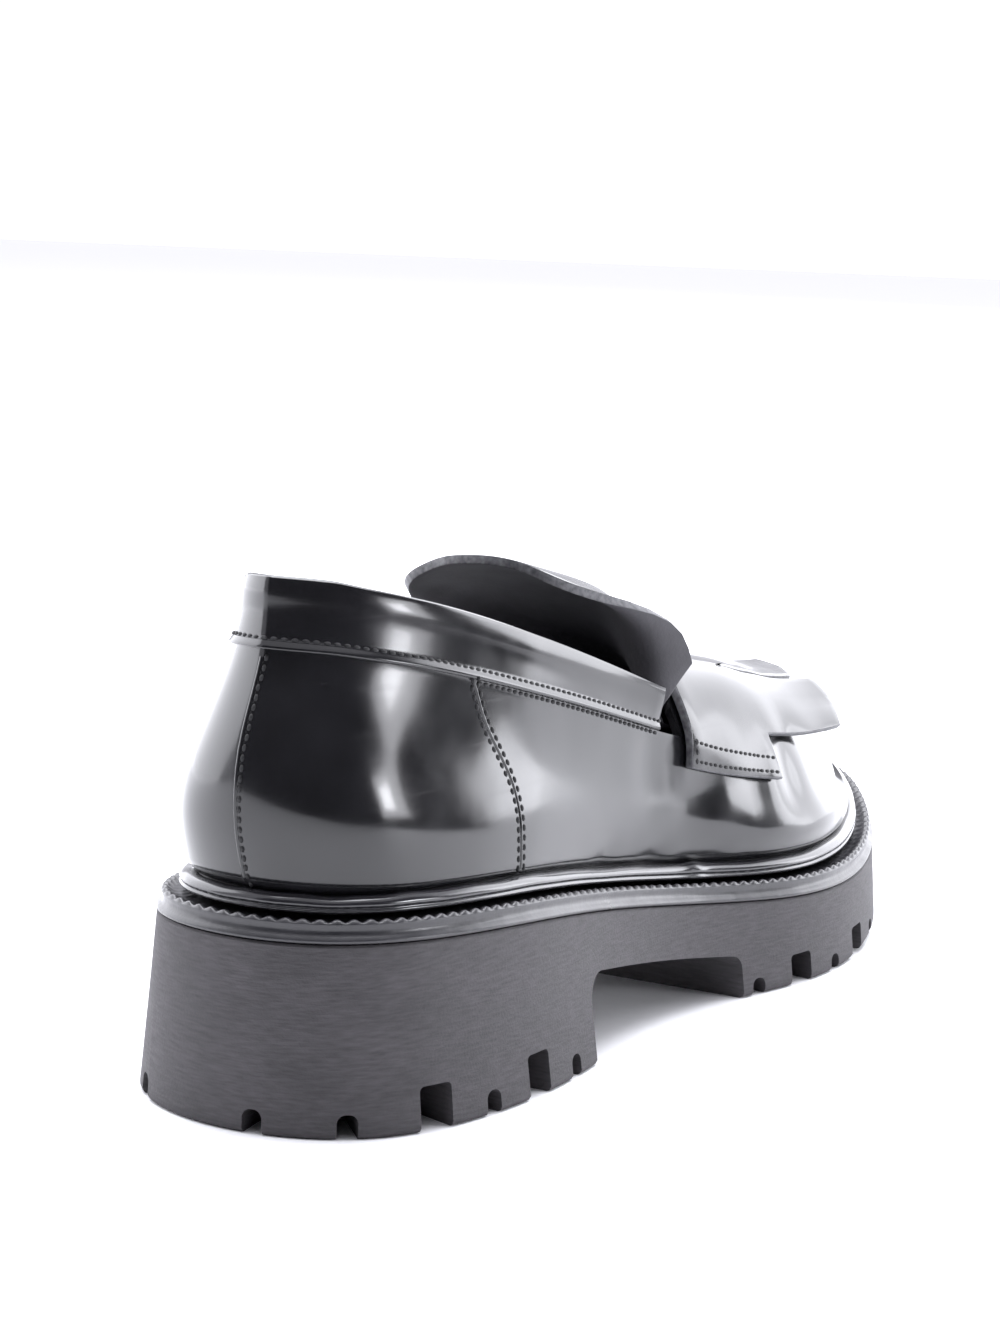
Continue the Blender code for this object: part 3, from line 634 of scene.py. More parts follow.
WALL_COLUMNS = ("share", "low_in", "low_up", "mid_in", "mid_up", "seam_in", "seam_up")
WALL_SECTIONS = (
    (0.000, 0.030, 0.270, 0.045, 0.520, 0.124, 0.812),
    (0.060, 0.054, 0.265, 0.100, 0.510, 0.164, 0.790),
    (0.130, 0.070, 0.255, 0.110, 0.485, 0.152, 0.755),
    (0.250, 0.066, 0.225, 0.094, 0.420, 0.118, 0.675),
    (0.400, 0.048, 0.195, 0.056, 0.350, 0.056, 0.588),
    (0.520, 0.048, 0.175, 0.058, 0.310, 0.070, 0.520),
    (0.640, 0.054, 0.150, 0.084, 0.285, 0.130, 0.470),
    (0.750, 0.062, 0.135, 0.100, 0.250, 0.152, 0.410),
    (0.860, 0.088, 0.110, 0.112, 0.195, 0.146, 0.315),
    (0.940, 0.098, 0.080, 0.114, 0.140, 0.134, 0.235),
    (1.000, 0.100, 0.055, 0.112, 0.100, 0.130, 0.165),
)
COLLAR_COLUMNS = ("share", "top_in", "top_up")
COLLAR_SECTIONS = (
    (0.000, 0.146, 1.036),
    (0.060, 0.195, 1.012),
    (0.130, 0.178, 0.974),
    (0.250, 0.140, 0.885),
    (0.400, 0.058, 0.765),
    (0.480, 0.032, 0.690),
)
VAMP_COLUMNS = ("share", "top_in", "top_up", "ridge_at", "ridge_up")
VAMP_SECTIONS = (
    (0.440, 0.110, 0.740, 0.615, 0.985),
    (0.500, 0.130, 0.705, 0.645, 0.940),
    (0.580, 0.165, 0.680, 0.682, 0.900),
    (0.640, 0.200, 0.655, 0.712, 0.865),
    (0.750, 0.232, 0.575, 0.775, 0.785),
    (0.860, 0.188, 0.432, 0.855, 0.655),
    (0.940, 0.154, 0.322, 0.908, 0.515),
    (1.000, 0.158, 0.225, 0.932, 0.390),
)
WALLS = table_curves(WALL_COLUMNS, WALL_SECTIONS)
COLLAR = table_curves(COLLAR_COLUMNS, COLLAR_SECTIONS)
VAMP = table_curves(VAMP_COLUMNS, VAMP_SECTIONS)

STATIONS = 160
WALL_STEPS = {"low": 8, "mid": 7, "seam": 9, "top": 14, "ridge": 18}
CREASE_SHARES = (0.36, 0.60)
CREASE_DEPTH = 0.0004
FLEX_CREASES = {
    LATERAL: (
        (0.452, 0.018, 0.0003),
        (0.560, 0.016, -0.0003),
        (0.606, 0.014, 0.0004),
        (0.640, 0.014, -0.0004),
        (0.678, 0.016, 0.0007),
        (0.722, 0.018, -0.0003),
        (0.765, 0.018, 0.0003),
    ),
    MEDIAL: ((0.585, 0.014, 0.0007), (0.640, 0.014, 0.0009), (0.690, 0.012, -0.0005), (0.735, 0.014, 0.0007)),
}


def level(side, turn, inset, up):
    """A point of the wall: inset is a share of the ball's width and up of the back's height."""
    place = plan_at(side, np.array([turn]), np.array([inset * BALL_WIDTH]))[0]
    return np.array([place[0], place[1], seat_height(place[1]) + up * BACK_HEIGHT])


def foot_creases(side, turn):
    """How far the leather is pulled in over the rand where it gathers at the waist."""
    share = float(share_of(turn))
    low, high = CREASE_SHARES
    if side == MEDIAL or not low < share < high:
        return 0.0
    fade = math.sin(math.pi * (share - low) / (high - low)) ** 0.5
    wave = 0.55 + 0.20 * math.sin(share * 150.0) + 0.40 * math.sin(share * 83.0 + 0.8)
    return CREASE_DEPTH * fade * max(wave, 0.0)


def flex_creases(side, turn):
    """Soft upright troughs and ridges where the vamp bends, in metres inwards."""
    share = float(share_of(turn))
    return sum(deep * math.exp(-(((share - at) / wide) ** 2)) for at, wide, deep in FLEX_CREASES[side])


def wall_levels(side, turn):
    flex = flex_creases(side, turn) / BALL_WIDTH
    foot_in = (RAND_INSET + RAND_WIDTH + CLEARANCE) / BALL_WIDTH
    crease_up = (RAND_HEIGHT + CLEARANCE) / BACK_HEIGHT
    pulled = foot_creases(side, turn)
    swell_in = (RAND_INSET + SWELL_SHARE * RAND_WIDTH + pulled) / BALL_WIDTH
    swell_up = (RAND_HEIGHT + SWELL_RISE + pulled) / BACK_HEIGHT
    fade = min(1.0, 2.5 * (1 - float(share_of(turn))) + 0.35)
    return [
        level(side, turn, foot_in, 0.0),
        level(side, turn, foot_in - 0.001, crease_up),
        level(side, turn, foot_in + (swell_in - foot_in) * fade, swell_up),
        level(side, turn, WALLS["low_in"](turn), WALLS["low_up"](turn)),
        level(side, turn, WALLS["mid_in"](turn) + flex, WALLS["mid_up"](turn)),
        level(side, turn, WALLS["seam_in"](turn) + flex * 0.8, WALLS["seam_up"](turn)),
    ]


def ridge_point(turn):
    y = float(VAMP["ridge_at"](turn)) * LENGTH - HEEL_BACK
    fade = min(1.0, (1 - turn) * 4)
    return np.array([RIDGE_SHIFT * fade, y, seat_height(y) + VAMP["ridge_up"](turn) * INSTEP_HEIGHT])


def vamp_levels(side, turn):
    return wall_levels(side, turn) + [level(side, turn, VAMP["top_in"](turn), VAMP["top_up"](turn))]


def run_along(points):
    points = np.array(points)
    gaps = np.maximum(np.linalg.norm(np.diff(points, axis=0), axis=1), 1e-6)
    places = np.concatenate([[0], np.cumsum(gaps)])
    return smooth_curve(places, points), places


def sampled(points, counts):
    curve, places = run_along(points)
    spans = [np.linspace(a, b, n + 1)[1:] for a, b, n in zip(places, places[1:], counts)]
    return curve(np.concatenate([[0.0]] + spans))


def foot_rows(levels):
    """The straight rows behind the rand."""
    foot, crease, swell = (np.array(point) for point in levels[:3])
    return np.array([foot, (foot + crease) / 2, crease, crease + (swell - crease) * 0.5])


def quarter_rows(side, turn):
    top = level(side, turn, COLLAR["top_in"](turn), COLLAR["top_up"](turn))
    levels = wall_levels(side, turn) + [top]
    steps = [WALL_STEPS[name] for name in ("low", "mid", "seam")]
    curve, places = run_along(levels[2:])
    runs = [np.linspace(a, b, n + 1)[1:] for a, b, n in zip(places, places[1:], steps)]
    rows = curve(np.concatenate([[0.0]] + runs))
    turns = np.array([turn])
    away = plan_at(side, turns, np.array([0.0])) - plan_at(side, turns, np.array([0.001]))
    away = np.append(away[0], 0.0)
    away = away / np.linalg.norm(away)
    folded = ((0.03, 0.60), (0.12, 0.98), (0.32, 1.12), (0.60, 1.06), (0.85, 0.90), (1.10, 0.76))
    raised = away * (COLLAR_STEP + SEAM_RAISE)
    band = [curve(places[3] + SEAM_WIDTH * at) + raised * out for at, out in folded]
    rest = np.linspace(places[3] + SEAM_WIDTH * 1.5, places[4], WALL_STEPS["top"])
    rolls = np.exp(-(((places[4] - rest - ROLL_DOWN) / ROLL_DOWN) ** 2))
    band += [curve(at) + away * (COLLAR_STEP + ROLL_OUT * roll) for at, roll in zip(rest, rolls)]
    return np.concatenate([foot_rows(levels), rows]), np.concatenate([rows[-1:], band])


def vamp_rows(turn):
    lateral, medial = vamp_levels(LATERAL, turn), vamp_levels(MEDIAL, turn)
    steps = [WALL_STEPS[name] for name in ("low", "mid", "seam", "top", "ridge")]
    ridge = ridge_point(turn)
    face = sampled(lateral[2:] + [ridge] + medial[:1:-1], steps + steps[::-1])
    fan = min(max((float(share_of(turn)) - TIP_FROM) / (1 - TIP_FROM) * 2, 0.0), 1.0)
    lateral_half, medial_half = (sampled(levels[2:] + [ridge], steps) for levels in (lateral, medial))
    halves = np.concatenate([lateral_half, medial_half[-2::-1]])
    face = face * (1 - fan) + halves * fan
    return np.concatenate([foot_rows(lateral), face, foot_rows(medial)[::-1]])


def laid_grid(bm, rows):
    """A grid of faces whose points lie at rows[i][j]."""
    rows = np.array(rows)
    across, along = rows.shape[0] - 1, rows.shape[1] - 1
    made = bmesh.ops.create_grid(bm, x_segments=across, y_segments=along, size=1.0)
    for vertex in made["verts"]:
        i = round((vertex.co.x + 1) / 2 * across)
        j = round((vertex.co.y + 1) / 2 * along)
        vertex.co = rows[i, j]


def face_out(bm):
    """Welds the seams of an open shell and turns its faces outwards."""
    bmesh.ops.remove_doubles(bm, verts=bm.verts, dist=1e-6)
    bmesh.ops.recalc_face_normals(bm, faces=bm.faces)
    outer = max(bm.faces, key=lambda face: face.calc_center_median().x + face.calc_center_median().z)
    if outer.normal.x + outer.normal.z < 0:
        bmesh.ops.reverse_faces(bm, faces=bm.faces)
    return bm


def smoothed_near(bm, middle, reach, times):
    """Draws out the pit where the vamp's two halves meet over the toe."""
    near = [v for v in bm.verts if (v.co - Vector(middle)).length < reach and not v.is_boundary]
    for _ in range(times):
        bmesh.ops.smooth_vert(bm, verts=near, factor=0.5, use_axis_x=True, use_axis_y=True, use_axis_z=True)


def upper_shell():
    turns = [i / STATIONS for i in range(STATIONS + 1)]
    rear = [turn for turn in turns if turn <= COLLAR_END_TURN + 1e-9]
    between = [turn for turn in turns if COLLAR_END_TURN < turn - 1e-9 and turn < THROAT_TURN - 1e-9]
    front = [turn for turn in turns if turn >= THROAT_TURN - 1e-9]
    height = 4 + 1 + sum(WALL_STEPS[name] for name in ("low", "mid", "seam"))
    vamps = [vamp_rows(turn) for turn in front]
    bm = bmesh.new()
    for side in (LATERAL, MEDIAL):
        quarters = [quarter_rows(side, turn) for turn in rear]
        lower = [rows for rows, _ in quarters]
        lower += [quarter_rows(side, turn)[0] for turn in between]
        lower += [(arch if side == LATERAL else arch[::-1])[:height] for arch in vamps]
        laid_grid(bm, lower)
        laid_grid(bm, [band for _, band in quarters])
    laid_grid(bm, [arch[height - 1 : len(arch) - height + 1] for arch in vamps])
    face_out(bm)
    for reach, times in TIP_SMOOTHING:
        smoothed_near(bm, ridge_point(1.0), reach, times)
    return bm


def lining_leather():
    material, tree, shader = new_material("lining_leather", (0.040, 0.038, 0.043), 0.70)
    nap = pattern(tree, "ShaderNodeTexNoise", (1, 1, 1), 900.0, 4.0)
    cloud = pattern(tree, "ShaderNodeTexNoise", (1, 1, 1), 60.0, 3.0)
    tinted(tree, shader, cloud, (0.050, 0.048, 0.054), (0.080, 0.078, 0.086))
    bumped(tree, shader, nap, 0.00010)
    return material


def thickened(piece, thickness, outward=False, edge=0.0006, rim=0):
    wall = piece.modifiers.new("wall", "SOLIDIFY")
    wall.thickness = thickness
    wall.offset = 1 if outward else -1
    wall.use_even_offset = True
    wall.use_quality_normals = True
    wall.material_offset = 1
    wall.material_offset_rim = rim
    bevel = piece.modifiers.new("rounded edges", "BEVEL")
    bevel.width = edge
    bevel.segments = 3
    bevel.limit_method = "ANGLE"
    bevel.angle_limit = math.radians(60)
    bevel.material = -1
    return piece


def surface_of(piece):
    """The piece's bare sheet, to lay stitches on."""
    places = [vertex.co.copy() for vertex in piece.data.vertices]
    return BVHTree.FromPolygons(places, [tuple(face.vertices) for face in piece.data.polygons])


UPPER_POLISH = polish("upper_polish", (0.006, 0.006, 0.007), (0.010, 0.010, 0.012), 0.17, 0.25)
LINING = lining_leather()
upper = new_piece("upper_leather_shell", upper_shell(), UPPER_POLISH, LINING)
outer_face = surface_of(upper)
thickened(upper, WALL, edge=0.0009)
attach(upper, "root")
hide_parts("upper")

# Insole. A thin cushioned sock of dark lining leather glued over the board, seen down through the collar.

INSOLE = 0.0030
INSOLE_INSET = 0.0119


def insole_pad():
    laps, _ = even_laps(160, INSOLE_INSET)
    profile = [
        (INSOLE_INSET, seat_height),
        (INSOLE_INSET, lambda y: seat_height(y) + INSOLE * 0.7),
        (INSOLE_INSET + 0.0008, lambda y: seat_height(y) + INSOLE),
    ]
    bm, top = swept_ring(laps, profile)
    close_ring(bm, top)
    close_ring(bm, [edge for edge in bm.edges if edge.is_boundary])
    bmesh.ops.recalc_face_normals(bm, faces=bm.faces)
    return bm


insole = new_piece("insole_sock", insole_pad(), LINING)
insole.data.set_sharp_from_angle(angle=math.radians(35))
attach(insole, "root")
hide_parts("insole")

# Tongue. Two layers sewn together, polished outside and matt inside, with a bare grey cut edge. It is
# sewn in under the vamp's throat and stands up and back over the instep.

TONGUE_THICKNESS = 0.0022
TONGUE_WIDTH = 0.0690
TONGUE_LENGTH = 0.0900
TONGUE_RISE = 0.0395
TONGUE_TILT = 0.0032
TONGUE_ROOT = 0.012
TONGUE_ROOT_SHARE = 0.90
TONGUE_EASE = 0.0010
TONGUE_COLUMNS = ("across", "mid_out", "mid_back", "mid_up", "tip_out", "tip_back", "tip_up")
TONGUE_SECTIONS = (
    (0.00, 0.00, 0.430, 0.580, 0.00, 0.935, 0.965),
    (0.15, 0.16, 0.435, 0.580, 0.17, 0.930, 0.958),
    (0.35, 0.36, 0.455, 0.570, 0.40, 0.902, 0.906),
    (0.70, 0.71, 0.530, 0.500, 0.76, 0.757, 0.702),
    (0.88, 0.87, 0.478, 0.260, 0.96, 0.480, 0.448),
    (1.00, 0.93, 0.430, 0.090, 1.00, 0.400, 0.180),
)
TONGUE = table_curves(TONGUE_COLUMNS, TONGUE_SECTIONS, by_turn=False)
TONGUE_HALF_COLUMNS = 22

arch_turns = np.linspace(0.44, 0.98, 109)
ARCHES = smooth_curve(
    arch_turns,
    [vamp_levels(LATERAL, t)[2:] + [ridge_point(t)] + vamp_levels(MEDIAL, t)[:1:-1] for t in arch_turns],
)


def arch_point(turn, across):
    """A point over the vamp: across is 0 on its ridge, 1 at the lateral seam line, -1 at the medial."""
    curve, places = run_along(ARCHES(turn).reshape(-1, 3))
    seam = places[3] if across > 0 else places[7]
    at = places[5] + (seam - places[5]) * abs(across)
    return curve(at), curve(at + 1e-4) - curve(at - 1e-4)


def over_vamp(share, across, lift):
    """arch_point, lifted square to the vamp."""
    place, along = arch_point(float(turn_of(share)), across)
    ahead, _ = arch_point(float(turn_of(share + 0.002)), across)
    behind, _ = arch_point(float(turn_of(share - 0.002)), across)
    away = np.cross(ahead - behind, along)
    away = away / np.linalg.norm(away)
    if away[2] * (abs(across) < 0.9) + away[0] * across * (abs(across) >= 0.9) < 0:
        away = -away
    return place + away * lift


def tongue_sheet():
    inside = WALL + TONGUE_EASE
    throat_share = float(share_of(THROAT_TURN)) - 0.001
    throat = over_vamp(throat_share, 0.0, -inside)
    rows = []
    for i in range(-TONGUE_HALF_COLUMNS, TONGUE_HALF_COLUMNS + 1):
        across, spread = i / TONGUE_HALF_COLUMNS, abs(i) / TONGUE_HALF_COLUMNS
        points = [over_vamp(throat_share + TONGUE_ROOT / LENGTH, across * TONGUE_ROOT_SHARE, -inside)]
        points.append(over_vamp(throat_share, across * TONGUE_ROOT_SHARE, -inside))
        for where, leaning in (("mid", 0.5), ("tip", 1.0)):
            out = math.copysign(float(TONGUE[where + "_out"](spread)) * TONGUE_WIDTH / 2, i)
            back = float(TONGUE[where + "_back"](spread)) * TONGUE_LENGTH
            up = float(TONGUE[where + "_up"](spread)) * TONGUE_RISE + across * TONGUE_TILT * leaning
            points.append(throat + np.array([out, -back, up]))
        rows.append(sampled(points, [4, 14, 16]))
    bm = bmesh.new()
    laid_grid(bm, rows)
    return face_out(bm)


def cut_edge():
    material, tree, shader = new_material("cut_edge", (0.11, 0.11, 0.12), 0.55)
    fibre = pattern(tree, "ShaderNodeTexNoise", (1, 1, 1), 700.0, 4.0)
    tinted(tree, shader, fibre, (0.05, 0.05, 0.055), (0.16, 0.16, 0.17))
    bumped(tree, shader, fibre, 0.00012)
    return material


CUT_EDGE = cut_edge()
tongue = new_piece("tongue_sheet", tongue_sheet(), UPPER_POLISH, LINING, CUT_EDGE)
thickened(tongue, TONGUE_THICKNESS, edge=0.0007, rim=2)
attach(tongue, "root")
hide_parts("tongue")

# Kiltie. One thick piece of the same leather: a strap across the instep, sewn down at both ends, whose
# front is cut into pointed strips that fan out over the vamp and lift at their tips.

STRAP_THICKNESS = 0.0022
STRAP_LIFT = 0.0007
STRAP_END = 1.18
STRAP_TAPER = 0.05
FRINGE_STRIPS = 5
FRINGE_WIDTH = 0.95
FRINGE_LIFT = 0.0100
FRINGE_SPREAD = 0.050
FRINGE_POINT = 0.024
KILTIE_COLUMNS = ("across", "back", "front", "tip", "lift")
KILTIE_SECTIONS = (
    (0.00, 0.502, 0.598, 0.838, 0.18),
    (0.35, 0.503, 0.603, 0.840, 0.34),
    (0.70, 0.507, 0.618, 0.824, 0.60),
    (1.00, 0.503, 0.634, 0.814, 1.00),
    (1.18, 0.501, 0.640, 0.814, 1.00),
)
KILTIE = table_curves(KILTIE_COLUMNS, KILTIE_SECTIONS, by_turn=False)
STRIP_COLUMNS = 8
STRIP_ROWS = 16


def on_strap(across, along):
    """A point of the strap, along it from its back edge at 0 to its front at 1."""
    back, front = float(KILTIE["back"](abs(across))), float(KILTIE["front"](abs(across)))
    return over_vamp(back + (front - back) * along, across * (1 - STRAP_TAPER * (1 - along)), STRAP_LIFT)


def strip_rows(first, last):
    middle, rows = (first + last) / 2, []
    for i in range(STRIP_COLUMNS + 1):
        root = first + (last - first) * i / STRIP_COLUMNS
        off = abs(root - middle) / (last - first) * 2
        front = float(KILTIE["front"](abs(root)))
        tip = float(KILTIE["tip"](abs(root))) - FRINGE_POINT * off
        column = []
        for j in range(STRIP_ROWS + 1):
            run = j / STRIP_ROWS
            across = root + (middle * FRINGE_SPREAD - (root - middle) * 0.17) * run
            lift = float(KILTIE["lift"](abs(middle))) * FRINGE_LIFT * run**2
            column.append(over_vamp(front + (tip - front) * run, across, STRAP_LIFT + lift))
        rows.append(column)
    return rows


def kiltie_sheet():
    width = 2 * FRINGE_WIDTH / FRINGE_STRIPS
    edges = [width * i - FRINGE_WIDTH for i in range(FRINGE_STRIPS + 1)]
    parts = [i / STRIP_COLUMNS for i in range(STRIP_COLUMNS)]
    columns = [a + (b - a) * part for a, b in zip(edges, edges[1:]) for part in parts]
    beyond = [FRINGE_WIDTH + (STRAP_END - FRINGE_WIDTH) * i / 5 for i in range(6)]
    columns = [-at for at in beyond[::-1]] + columns[1:] + beyond
    strap = []
    for across in columns:
        strap.append([on_strap(across, i / 8) for i in range(9)])
    bm = bmesh.new()
    laid_grid(bm, strap)
    for first, last in zip(edges, edges[1:]):
        laid_grid(bm, strip_rows(first, last))
    return face_out(bm)


kiltie = new_piece("kiltie_strap", kiltie_sheet(), UPPER_POLISH, LINING, CUT_EDGE)
strap_face = surface_of(kiltie)
thickened(kiltie, STRAP_THICKNESS, outward=True, edge=0.0005, rim=2)
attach(kiltie, "root")
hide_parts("kiltie")

# Seam ridges. The counter meets the quarter, and the quarters meet up the heel, in a narrow raised fold
# of the same polished leather. Paths are points on the wall, in metres.

SEAM_CORD_RADIUS = 0.0006
SEAM_CORD_SINK = 0.0003
COUNTER_SEAM = (
    (0.0262, 0.0160, 0.0925),
    (0.0275, 0.0185, 0.0828),
    (0.0292, 0.0222, 0.0755),
    (0.0312, 0.0257, 0.0672),
    (0.0324, 0.0263, 0.0614),
    (0.0332, 0.0262, 0.0545),
    (0.0330, 0.0262, 0.0490),
)
BACK_SEAM = (
    (0.0, -0.0279, 0.1000),
    (0.0, -0.0325, 0.0893),
    (0.0, -0.0359, 0.0806),
    (0.0, -0.0371, 0.0693),
    (0.0, -0.0345, 0.0557),
    (0.0, -0.0330, 0.0515),
)


def on_wall(path, step, face=None):
    """Points every step along a smooth path, laid on the wall: (place, normal, direction) each."""
    curve, places = run_along([np.array(point) for point in path])
    count = max(int(places[-1] / step), 2)
    spots = [Vector(curve(at)) for at in np.linspace(0, places[-1], count + 1)]
    laid = [(face or outer_face).find_nearest(spot)[:2] for spot in spots]
    found = []
    for i, (place, normal) in enumerate(laid):
        ahead, behind = laid[min(i + 1, count)][0], laid[max(i - 1, 0)][0]
        found.append((place, normal, (ahead - behind).normalized()))
    return found


def ridge_cord(name, paths, radius, sink, material):
    """A rounded ridge of folded leather along each path."""
    data = bpy.data.curves.new(name, "CURVE")
    data.dimensions = "3D"
    data.bevel_depth = radius
    data.bevel_resolution = 3
    data.use_fill_caps = True
    for path in paths:
        laid = on_wall(path, 0.0012) if sink else [(Vector(spot), Vector(), None) for spot in path]
        spline = data.splines.new("POLY")
        spline.points.add(len(laid) - 1)
        for point, (place, normal, _) in zip(spline.points, laid):
            point.co = (*(place - normal * sink), 1.0)
    cord = placed(name, data)
    mesh = final_mesh(cord)
    bpy.data.objects.remove(cord, do_unlink=True)
    mesh.materials.clear()
    mesh.materials.append(material)
    mesh.shade_smooth()
    return placed(name, mesh)


def mirrored(path):
    return [(-x, y, z) for x, y, z in path]


seam_ridges = ridge_cord(
    "seam_ridges",
    [COUNTER_SEAM, mirrored(COUNTER_SEAM), BACK_SEAM],
    SEAM_CORD_RADIUS,
    SEAM_CORD_SINK,
    UPPER_POLISH,
)
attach(seam_ridges, "root")

# Collar rim. The collar band is turned over at the top into a rounded edge that runs from one side of
# the tongue round the heel to the other.

RIM_RADIUS = 0.0014


def collar_rim():
    """The rolled edge, from the lateral end of the collar round the heel to the medial end."""
    spots = []
    ends = [(LATERAL, turn) for turn in np.linspace(COLLAR_END_TURN, 0.0, 90)]
    ends += [(MEDIAL, turn) for turn in np.linspace(0.0, COLLAR_END_TURN, 90)[1:]]
    for side, turn in ends:
        inset = COLLAR["top_in"](turn) * BALL_WIDTH + RIM_RADIUS - COLLAR_STEP - ROLL_OUT * 0.6
        spots.append(level(side, turn, inset / BALL_WIDTH, COLLAR["top_up"](turn)) - (0, 0, RIM_RADIUS * 0.7))
    return spots


rim = ridge_cord("collar_rim", [collar_rim()], RIM_RADIUS, 0.0, UPPER_POLISH)
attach(rim, "root")

# Stitches. Waxed black thread, sunk a little into the leather: two rows down the counter's seam, one
# beside the back seam, one along the collar, and a box at each end of the strap.

THREAD_WIDTH = 0.00105
THREAD_SINK = 0.00010
STITCH_PITCH = 0.0022
STITCH_LENGTH = 0.0017
BOX_INSET = 0.035
BOX_HEIGHT = 0.110
COUNTER_ROW_OFFSET = 0.0012
BACK_ROW_OFFSET = 0.0010
COLLAR_ROW_RISE = 0.0021
LOWER_ROW_DROP = 0.0006
LOWER_ROW_FROM = 36


def shifted(path, offset, face=None):
    """The same path moved sideways over the wall by offset."""
    laid = on_wall(path, 0.002, face)
    return [place + normal.cross(along).normalized() * offset for place, normal, along in laid]


def one_stitch():
    """A rounded stitch along X, a few dozen faces."""
    bm = bmesh.new()
    size = Matrix.Diagonal((STITCH_LENGTH / 2, THREAD_WIDTH / 2, THREAD_WIDTH / 2, 1.0))
    lie = Matrix.Rotation(math.pi / 2, 4, "Y")
    bmesh.ops.create_uvsphere(bm, u_segments=8, v_segments=5, radius=1.0, matrix=size @ lie)
    mesh = bpy.data.meshes.new("stitch")
    bm.to_mesh(mesh)
    bm.free()
    return mesh


def stitch_row(bm, path, face=None, lift=0.0):
    for place, normal, along in on_wall(path, STITCH_PITCH, face):
        across = normal.cross(along).normalized()
        lie = Matrix((along, across, normal)).transposed().to_4x4()
        copy = one_stitch()
        copy.transform(Matrix.Translation(place + normal * (lift - THREAD_SINK)) @ lie)
        bm.from_mesh(copy)
        bpy.data.meshes.remove(copy)


def collar_path(side, rise):
    """A line along the collar band, rise above its seam."""
    path = []
    for turn in np.linspace(0.0, COLLAR_END_TURN, 60):
        top = level(side, turn, COLLAR["top_in"](turn), COLLAR["top_up"](turn))
        curve, places = run_along(wall_levels(side, turn)[2:] + [top])
        path.append(tuple(curve(places[3] + rise)))
    return path


def strap_box(side):
    """The rows of stitches that hold one end of the strap: along its end, across it and up its back."""
    low, high = STRAP_END - BOX_INSET, STRAP_END - BOX_HEIGHT
    steps = [0.05 + 0.90 * i / 6 for i in range(7)]
    rise = [low + (high - low) * i / 4 for i in range(5)]
    return (
        [tuple(on_strap(side * low, along)) for along in steps],
        [tuple(on_strap(side * high, along)) for along in steps],
        [tuple(on_strap(side * across, steps[0])) for across in rise],
    )


def waxed_thread():
    material, tree, shader = new_material("waxed_thread", (0.004, 0.004, 0.005), 0.62)
    twist = pattern(tree, "ShaderNodeTexNoise", (1, 1, 1), 2500.0, 2.0)
    tinted(tree, shader, twist, (0.004, 0.004, 0.005), (0.014, 0.014, 0.016))
    bumped(tree, shader, twist, 0.00005)
    return material


stitches = bmesh.new()
for side, path in ((LATERAL, COUNTER_SEAM), (MEDIAL, mirrored(COUNTER_SEAM))):
    for offset in (-COUNTER_ROW_OFFSET, COUNTER_ROW_OFFSET):
        stitch_row(stitches, shifted(path, offset))
stitch_row(stitches, shifted(BACK_SEAM, BACK_ROW_OFFSET))
for side in (LATERAL, MEDIAL):
    for row in strap_box(side):
        stitch_row(stitches, row, strap_face, STRAP_THICKNESS)
for side in (LATERAL, MEDIAL):
    stitch_row(stitches, collar_path(side, COLLAR_ROW_RISE))
    stitch_row(stitches, collar_path(side, -LOWER_ROW_DROP)[LOWER_ROW_FROM:])
thread = new_piece("stitches", stitches, waxed_thread())
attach(thread, "root")

# Studio. A white table in a white room under large soft lights. A dark screen that the camera doesn't
# see stands round it, and the polished heel mirrors it. Two small lights give the counter its patch.

FLOOR_HALF = 6.0
SCREEN_FROM = -24.0
SCREEN_TO = 139.0
SCREEN_RADIUS = 1.15
SCREEN_LOW = 0.0
SCREEN_HIGH = 1.20
SHOE_MIDDLE = Vector((0.0, 0.1, 0.05))
COOL_WHITE = (0.94, 0.95, 1.0)


def studio_floor():
    bm = bmesh.new()
    bmesh.ops.create_grid(bm, x_segments=1, y_segments=1, size=FLOOR_HALF)
    return bm


def paper_white():
    material, tree, shader = new_material("paper_white", (0.90, 0.90, 0.91), 0.6)
    tooth = pattern(tree, "ShaderNodeTexNoise", (1, 1, 1), 300.0, 3.0)
    tinted(tree, shader, tooth, (0.885, 0.885, 0.895), (0.915, 0.915, 0.925))
    return material


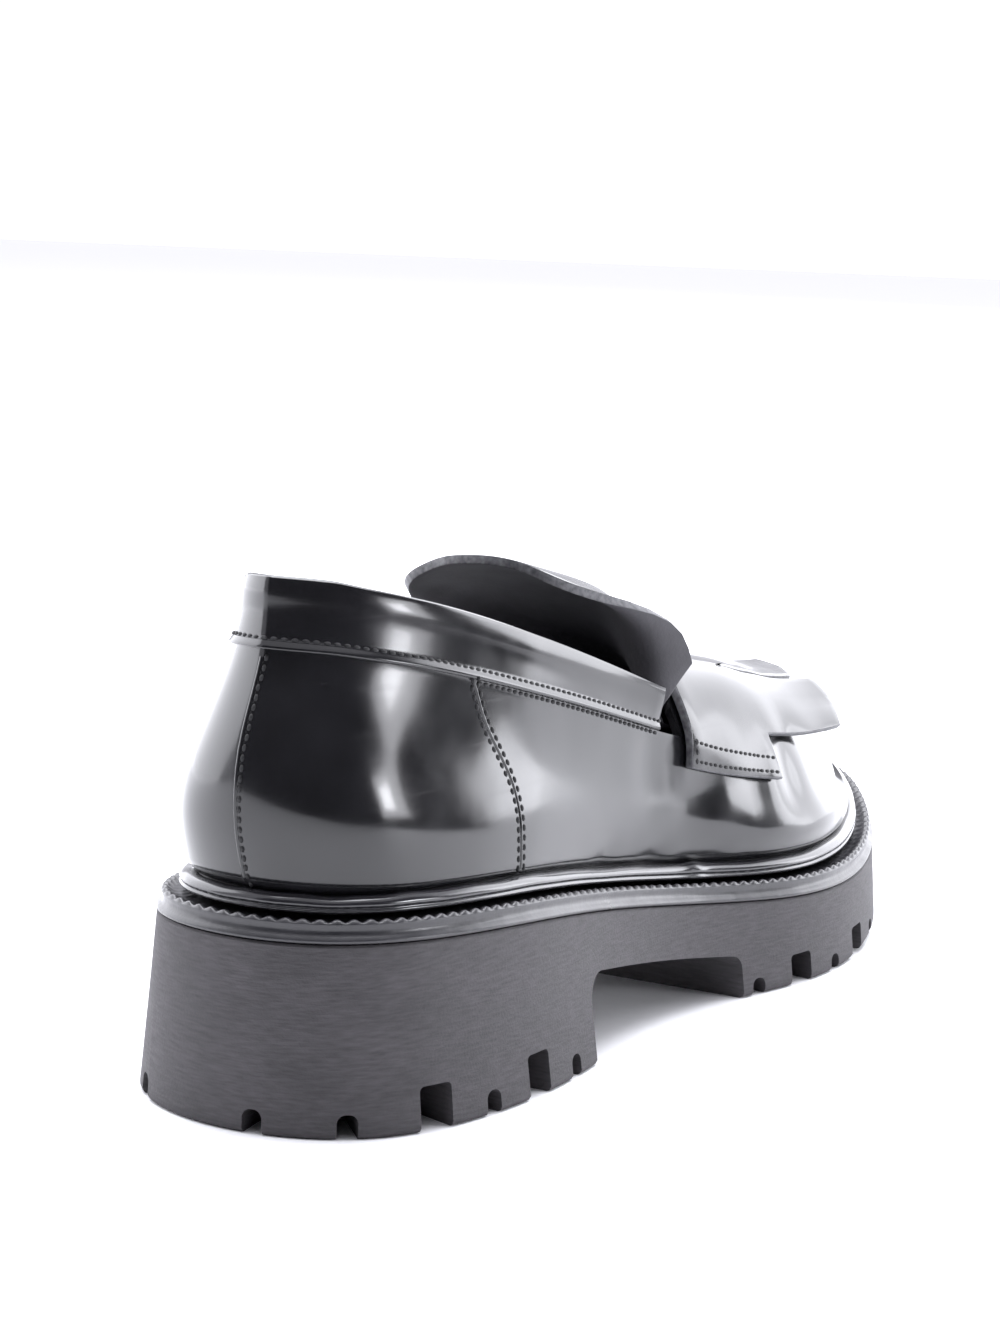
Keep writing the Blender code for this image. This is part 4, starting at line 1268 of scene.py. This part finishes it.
def soft_light(name, place, size, power):
    """A soft white panel that faces the shoe, size in metres and power in watts."""
    data = bpy.data.lights.new(name, "AREA")
    data.shape = "RECTANGLE"
    data.size, data.size_y = size
    data.energy = power
    data.color = COOL_WHITE
    placed(name, data).matrix_world = facing(Vector(place), SHOE_MIDDLE)


def dark_screen():
    """A dark standing screen, curved round the camera's side."""
    bm = bmesh.new()
    angles = np.radians(np.linspace(SCREEN_FROM, SCREEN_TO, 16))
    line = [(SCREEN_RADIUS * math.sin(a), -SCREEN_RADIUS * math.cos(a)) for a in angles]
    chain = [bm.verts.new((x, y, SCREEN_LOW)) for x, y in line]
    edges = [bm.edges.new(pair) for pair in zip(chain, chain[1:])]
    grown = bmesh.ops.extrude_edge_only(bm, edges=edges)["geom"]
    top = [item for item in grown if isinstance(item, bmesh.types.BMVert)]
    bmesh.ops.translate(bm, verts=top, vec=(0, 0, SCREEN_HIGH - SCREEN_LOW))
    bmesh.ops.recalc_face_normals(bm, faces=bm.faces)
    return bm


studio = new_piece("studio_floor", studio_floor(), paper_white())
cloth, _, _ = new_material("black_cloth", (0.012, 0.012, 0.013), 0.9)
screen = new_piece("dark_screen", dark_screen(), cloth)
screen.visible_camera = False
screen.visible_shadow = False
soft_light("overhead", (-0.3, 0.6, 2.0), (2.0, 2.0), 95.0)
soft_light("backdrop", (0.9, 3.4, 1.1), (4.6, 2.4), 115.0)
soft_light("front_right", (1.9, 1.9, 0.55), (1.9, 1.4), 24.0)
soft_light("left", (-1.5, 0.1, 0.7), (2.0, 1.8), 34.0)
soft_light("window", (0.885, 0.375, 0.25), (0.34, 0.30), 2.10)
soft_light("window_pane", (0.86, 0.33, 0.25), (0.14, 0.16), 0.95)

world = bpy.data.worlds.new("white_room")
world.use_nodes = True
world.node_tree.nodes["Background"].inputs["Color"].default_value = (1.0, 1.0, 1.08, 1.0)
world.node_tree.nodes["Background"].inputs["Strength"].default_value = 1.05
bpy.context.scene.world = world
bpy.context.scene.view_settings.view_transform = "Standard"
